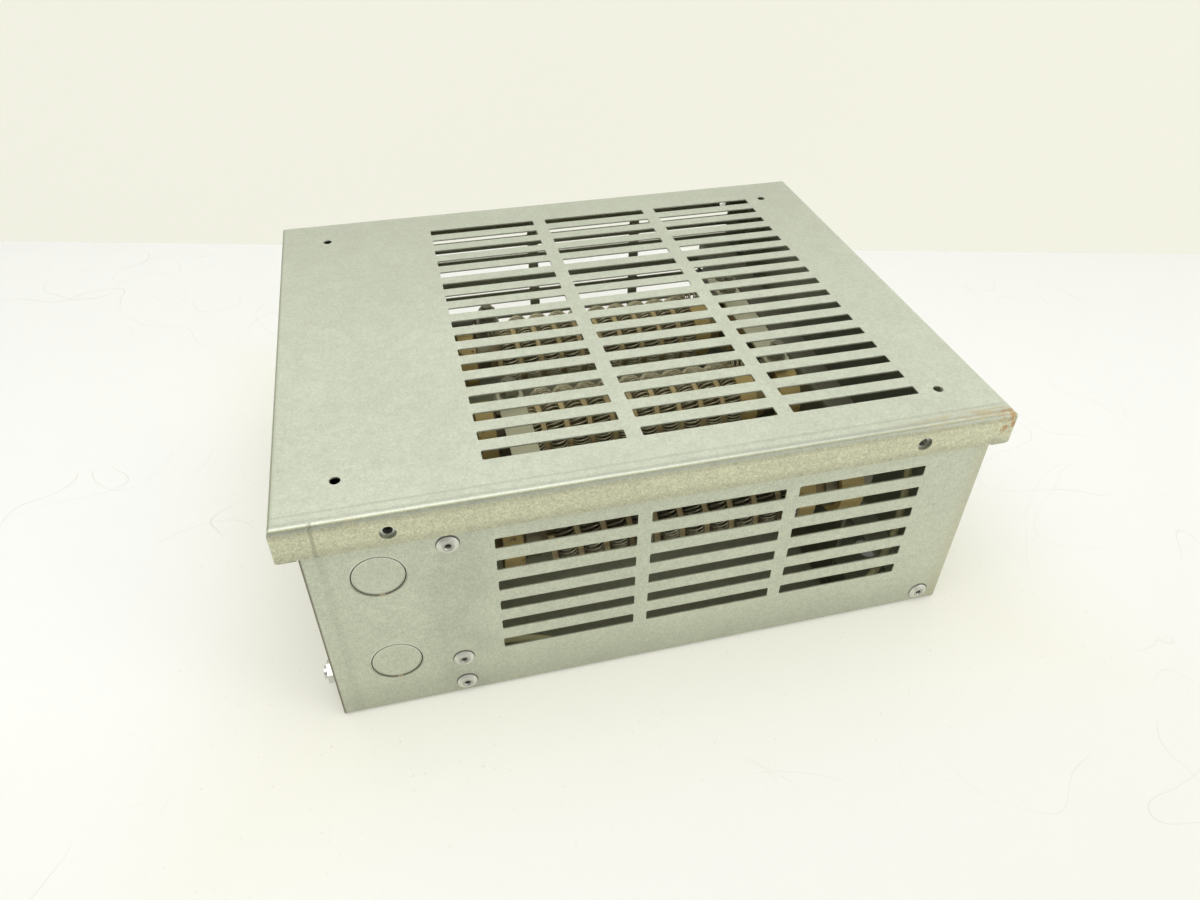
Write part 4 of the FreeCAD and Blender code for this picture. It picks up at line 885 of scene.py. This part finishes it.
def wire_along(name, path, radius, sides):
    """A closed round wire along a dense path."""
    tangent = unit(np.gradient(path, axis=0))
    normal = np.empty_like(path)
    current = np.array([0.31, 0.59, 0.74])
    for index, direction in enumerate(tangent):
        current = current - direction * np.dot(current, direction)
        current /= np.linalg.norm(current)
        normal[index] = current
    side = np.cross(tangent, normal)
    angles = np.arange(sides) * 2 * math.pi / sides
    rings = [path + radius * (math.cos(angle) * normal + math.sin(angle) * side) for angle in angles]
    vertices = np.stack(rings, axis=1).reshape(-1, 3)
    count = len(path)
    first = np.arange(count - 1)[:, None] * sides
    here = np.arange(sides)[None, :]
    after = (here + 1) % sides
    quads = np.stack([first + here, first + sides + here, first + sides + after, first + after], axis=2)
    faces = quads.reshape(-1, 4).tolist()
    faces.append(list(range(sides)))
    faces.append([(count - 1) * sides + index for index in reversed(range(sides))])
    mesh = bpy.data.meshes.new(name)
    mesh.from_pydata(vertices.tolist(), [], faces)
    mesh.polygons.foreach_set("use_smooth", [True] * len(mesh.polygons))
    piece = bpy.data.objects.new(name, mesh)
    bpy.context.collection.objects.link(piece)
    return piece


def cover_rear_lead(material):
    """The slipped-on sleeve over the rear lead, from its lug to the partition's grommet."""
    lead_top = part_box("rear_lead")[1][2]
    from_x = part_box("grommets")[1][0] + lead_sleeve_grommet_gap
    to_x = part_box("left_terminal_clamp_rear")[0][0] - lead_sleeve_lug_gap
    axis_y, axis_z = element_axis("rear")[0], lead_top - lead_radius - lead_sleeve_sag
    path = np.array([(x, axis_y, axis_z) for x in np.linspace(from_x, to_x, lead_sleeve_steps)])
    piece = wire_along("rear_lead_sleeve", path, lead_sleeve_radius, lead_sleeve_sides)
    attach(piece, "case")
    set_material(piece, material)


# Stage, light and camera

def beneath_case(shader):
    """1 on the floor right under the case."""
    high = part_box("case_wrap")[1]
    inside_x = shader.band(shader.x, 0, high[0] - shadow_inset, 1 * MM)
    return shader.both(inside_x, shader.band(shader.y, 0, high[1] - shadow_inset, 1 * MM))


def floor_tint(shader):
    """The floor's colour: painted shade toward the viewer and the right, painted warm shade close to the case
    and painted shadow right under it, with dust.
    """
    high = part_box("case_wrap")[1]
    away = shader.largest(shader.minus(shader.math("ABSOLUTE", shader.x), high[0]),
                          shader.minus(shader.math("ABSOLUTE", shader.y), high[1]))
    # Painted shade toward the viewer and toward the right
    tint = shader.mix(shader.smooth(shader.y, *floor_depth_range), floor_far, floor_near)
    tint = shader.shade(tint, shader.smooth(shader.x, *floor_side_range), *floor_side_tones)
    specks = shader.smooth(shader.noise(420, 1, 0.4), 0.73, 0.78)
    close_specks = shader.both(specks, shader.smooth(away, *dust_fade))
    tint = shader.stain(tint, close_specks, dust_strength, floor_dust)
    for scale, level, stretch in dust_lines:
        line = shader.band(shader.noise(scale, 1, 0.3, stretch), level, 0.0003, 0.0010)
        patch = shader.smooth(shader.noise(5, 1, 0.5, (1, 2, 1)), 0.55, 0.60)
        tint = shader.stain(tint, shader.both(line, patch), dust_strength, floor_dust)
    # Painted warm shade close to the case
    warm = shader.mix(1.0, tint, floor_warm_shade, "MULTIPLY")
    tint = shader.mix(shader.smooth(away, floor_warm_shade_reach, 0.0), tint, warm)
    # Painted shadow right under the case
    return shader.mix(beneath_case(shader), tint, floor_shadow_beneath)


def add_glow(shader, glow, share, mask=None):
    """Let the camera and reflections see a matt surface a little brighter than the light alone makes it."""
    shader.bsdf.inputs["Specular IOR Level"].default_value = 0.1
    light = shader.add("ShaderNodeEmission")
    light.inputs["Color"].default_value = colour(glow)
    light.inputs["Strength"].default_value = 1.0
    path = shader.add("ShaderNodeLightPath")
    seen = shader.largest(path.outputs["Is Camera Ray"], path.outputs["Is Glossy Ray"],
                          path.outputs["Is Transmission Ray"])
    if mask:
        seen = shader.both(seen, mask)
    blend = shader.add("ShaderNodeMixShader")
    shader.join(shader.times(seen, share), blend.inputs[0])
    shader.join(shader.bsdf.outputs[0], blend.inputs[1])
    shader.join(light.outputs[0], blend.inputs[2])
    shader.join(blend.outputs[0], shader.output.inputs[0])


def floor_material():
    """The pale table, which glows less under the case."""
    shader = Shader("floor_pale")
    shader.finish(floor_tint(shader), floor_roughness, 0.0)
    add_glow(shader, floor_glow, floor_glow_share, shader.span(beneath_case(shader), 1, floor_glow_beneath))
    return shader.material


def backdrop_material():
    """The plain pale wall behind the table."""
    shader = Shader("backdrop_pale")
    shader.finish(backdrop_paint, backdrop_roughness, 0.0)
    add_glow(shader, backdrop_glow, backdrop_glow_share)
    return shader.material


def make_plane(name, corners, material):
    mesh = bpy.data.meshes.new(name)
    mesh.from_pydata(corners, [], [(0, 1, 2, 3)])
    piece = bpy.data.objects.new(name, mesh)
    bpy.context.collection.objects.link(piece)
    set_material(piece, material)


def make_stage():
    """A floor and the wall that it meets behind the object, both square to the camera's azimuth."""
    azimuth = math.radians(camera_azimuth)
    ahead = Vector((math.sin(azimuth), math.cos(azimuth), 0))
    across = Vector((ahead.y, -ahead.x, 0))
    foot = Vector((camera_place[0], camera_place[1], 0)) + ahead * backdrop_distance
    left, right = foot - across * backdrop_half_width, foot + across * backdrop_half_width
    up = Vector((0, 0, backdrop_height))
    toward = -ahead * 2 * backdrop_half_width
    make_plane("floor", [left + toward, right + toward, right, left], floor_material())
    make_plane("backdrop", [left, right, right + up, left + up], backdrop_material())


def make_lights():
    """A broad overhead light and two softer fills, over a pale world."""
    for name, place, width, power in lamps:
        light = bpy.data.lights.new(name, "AREA")
        light.shape = "SQUARE"
        light.size = width
        light.energy = power
        light.color = lamp_tint
        lamp = bpy.data.objects.new(name, light)
        lamp.location = place
        lamp.rotation_euler = (Vector(lamp_aim) - Vector(place)).to_track_quat("-Z", "Y").to_euler()
        bpy.context.collection.objects.link(lamp)
    world = bpy.data.worlds.new("pale_room")
    world.use_nodes = True
    back = world.node_tree.nodes["Background"]
    back.inputs["Color"].default_value = colour(room_tint)
    back.inputs["Strength"].default_value = room_strength
    bpy.context.scene.world = world


def make_camera():
    """The camera, turned by its azimuth, its angle down and its roll."""
    azimuth, down = math.radians(camera_azimuth), math.radians(camera_down)
    flat = math.cos(down)
    forward = Vector((math.sin(azimuth) * flat, math.cos(azimuth) * flat, -math.sin(down)))
    level = Vector((math.cos(azimuth), -math.sin(azimuth), 0))
    up = level.cross(forward)
    roll = math.radians(camera_roll)
    right = level * math.cos(roll) + up * math.sin(roll)
    up = right.cross(forward)
    turn = Matrix((right, up, -forward)).transposed().to_4x4()
    data = bpy.data.cameras.new("photo_camera")
    data.lens = camera_lens
    data.sensor_width = camera_sensor
    data.sensor_fit = "HORIZONTAL"
    data.clip_start = camera_nearest
    piece = bpy.data.objects.new("photo_camera", data)
    piece.matrix_world = Matrix.Translation(camera_place) @ turn
    bpy.context.collection.objects.link(piece)
    bpy.context.scene.camera = piece


def main():
    bpy.context.scene.view_settings.view_transform = "Standard"
    make_camera()
    make_stage()
    make_lights()
    dress_nodes()
    wire = wire_metal("oxidised_wire")
    for label in element_labels:
        set_material(wind_coil(label), wire)
    cover_rear_lead(frame["nodes"]["rear_lead"].material_slots[0].material)


main()
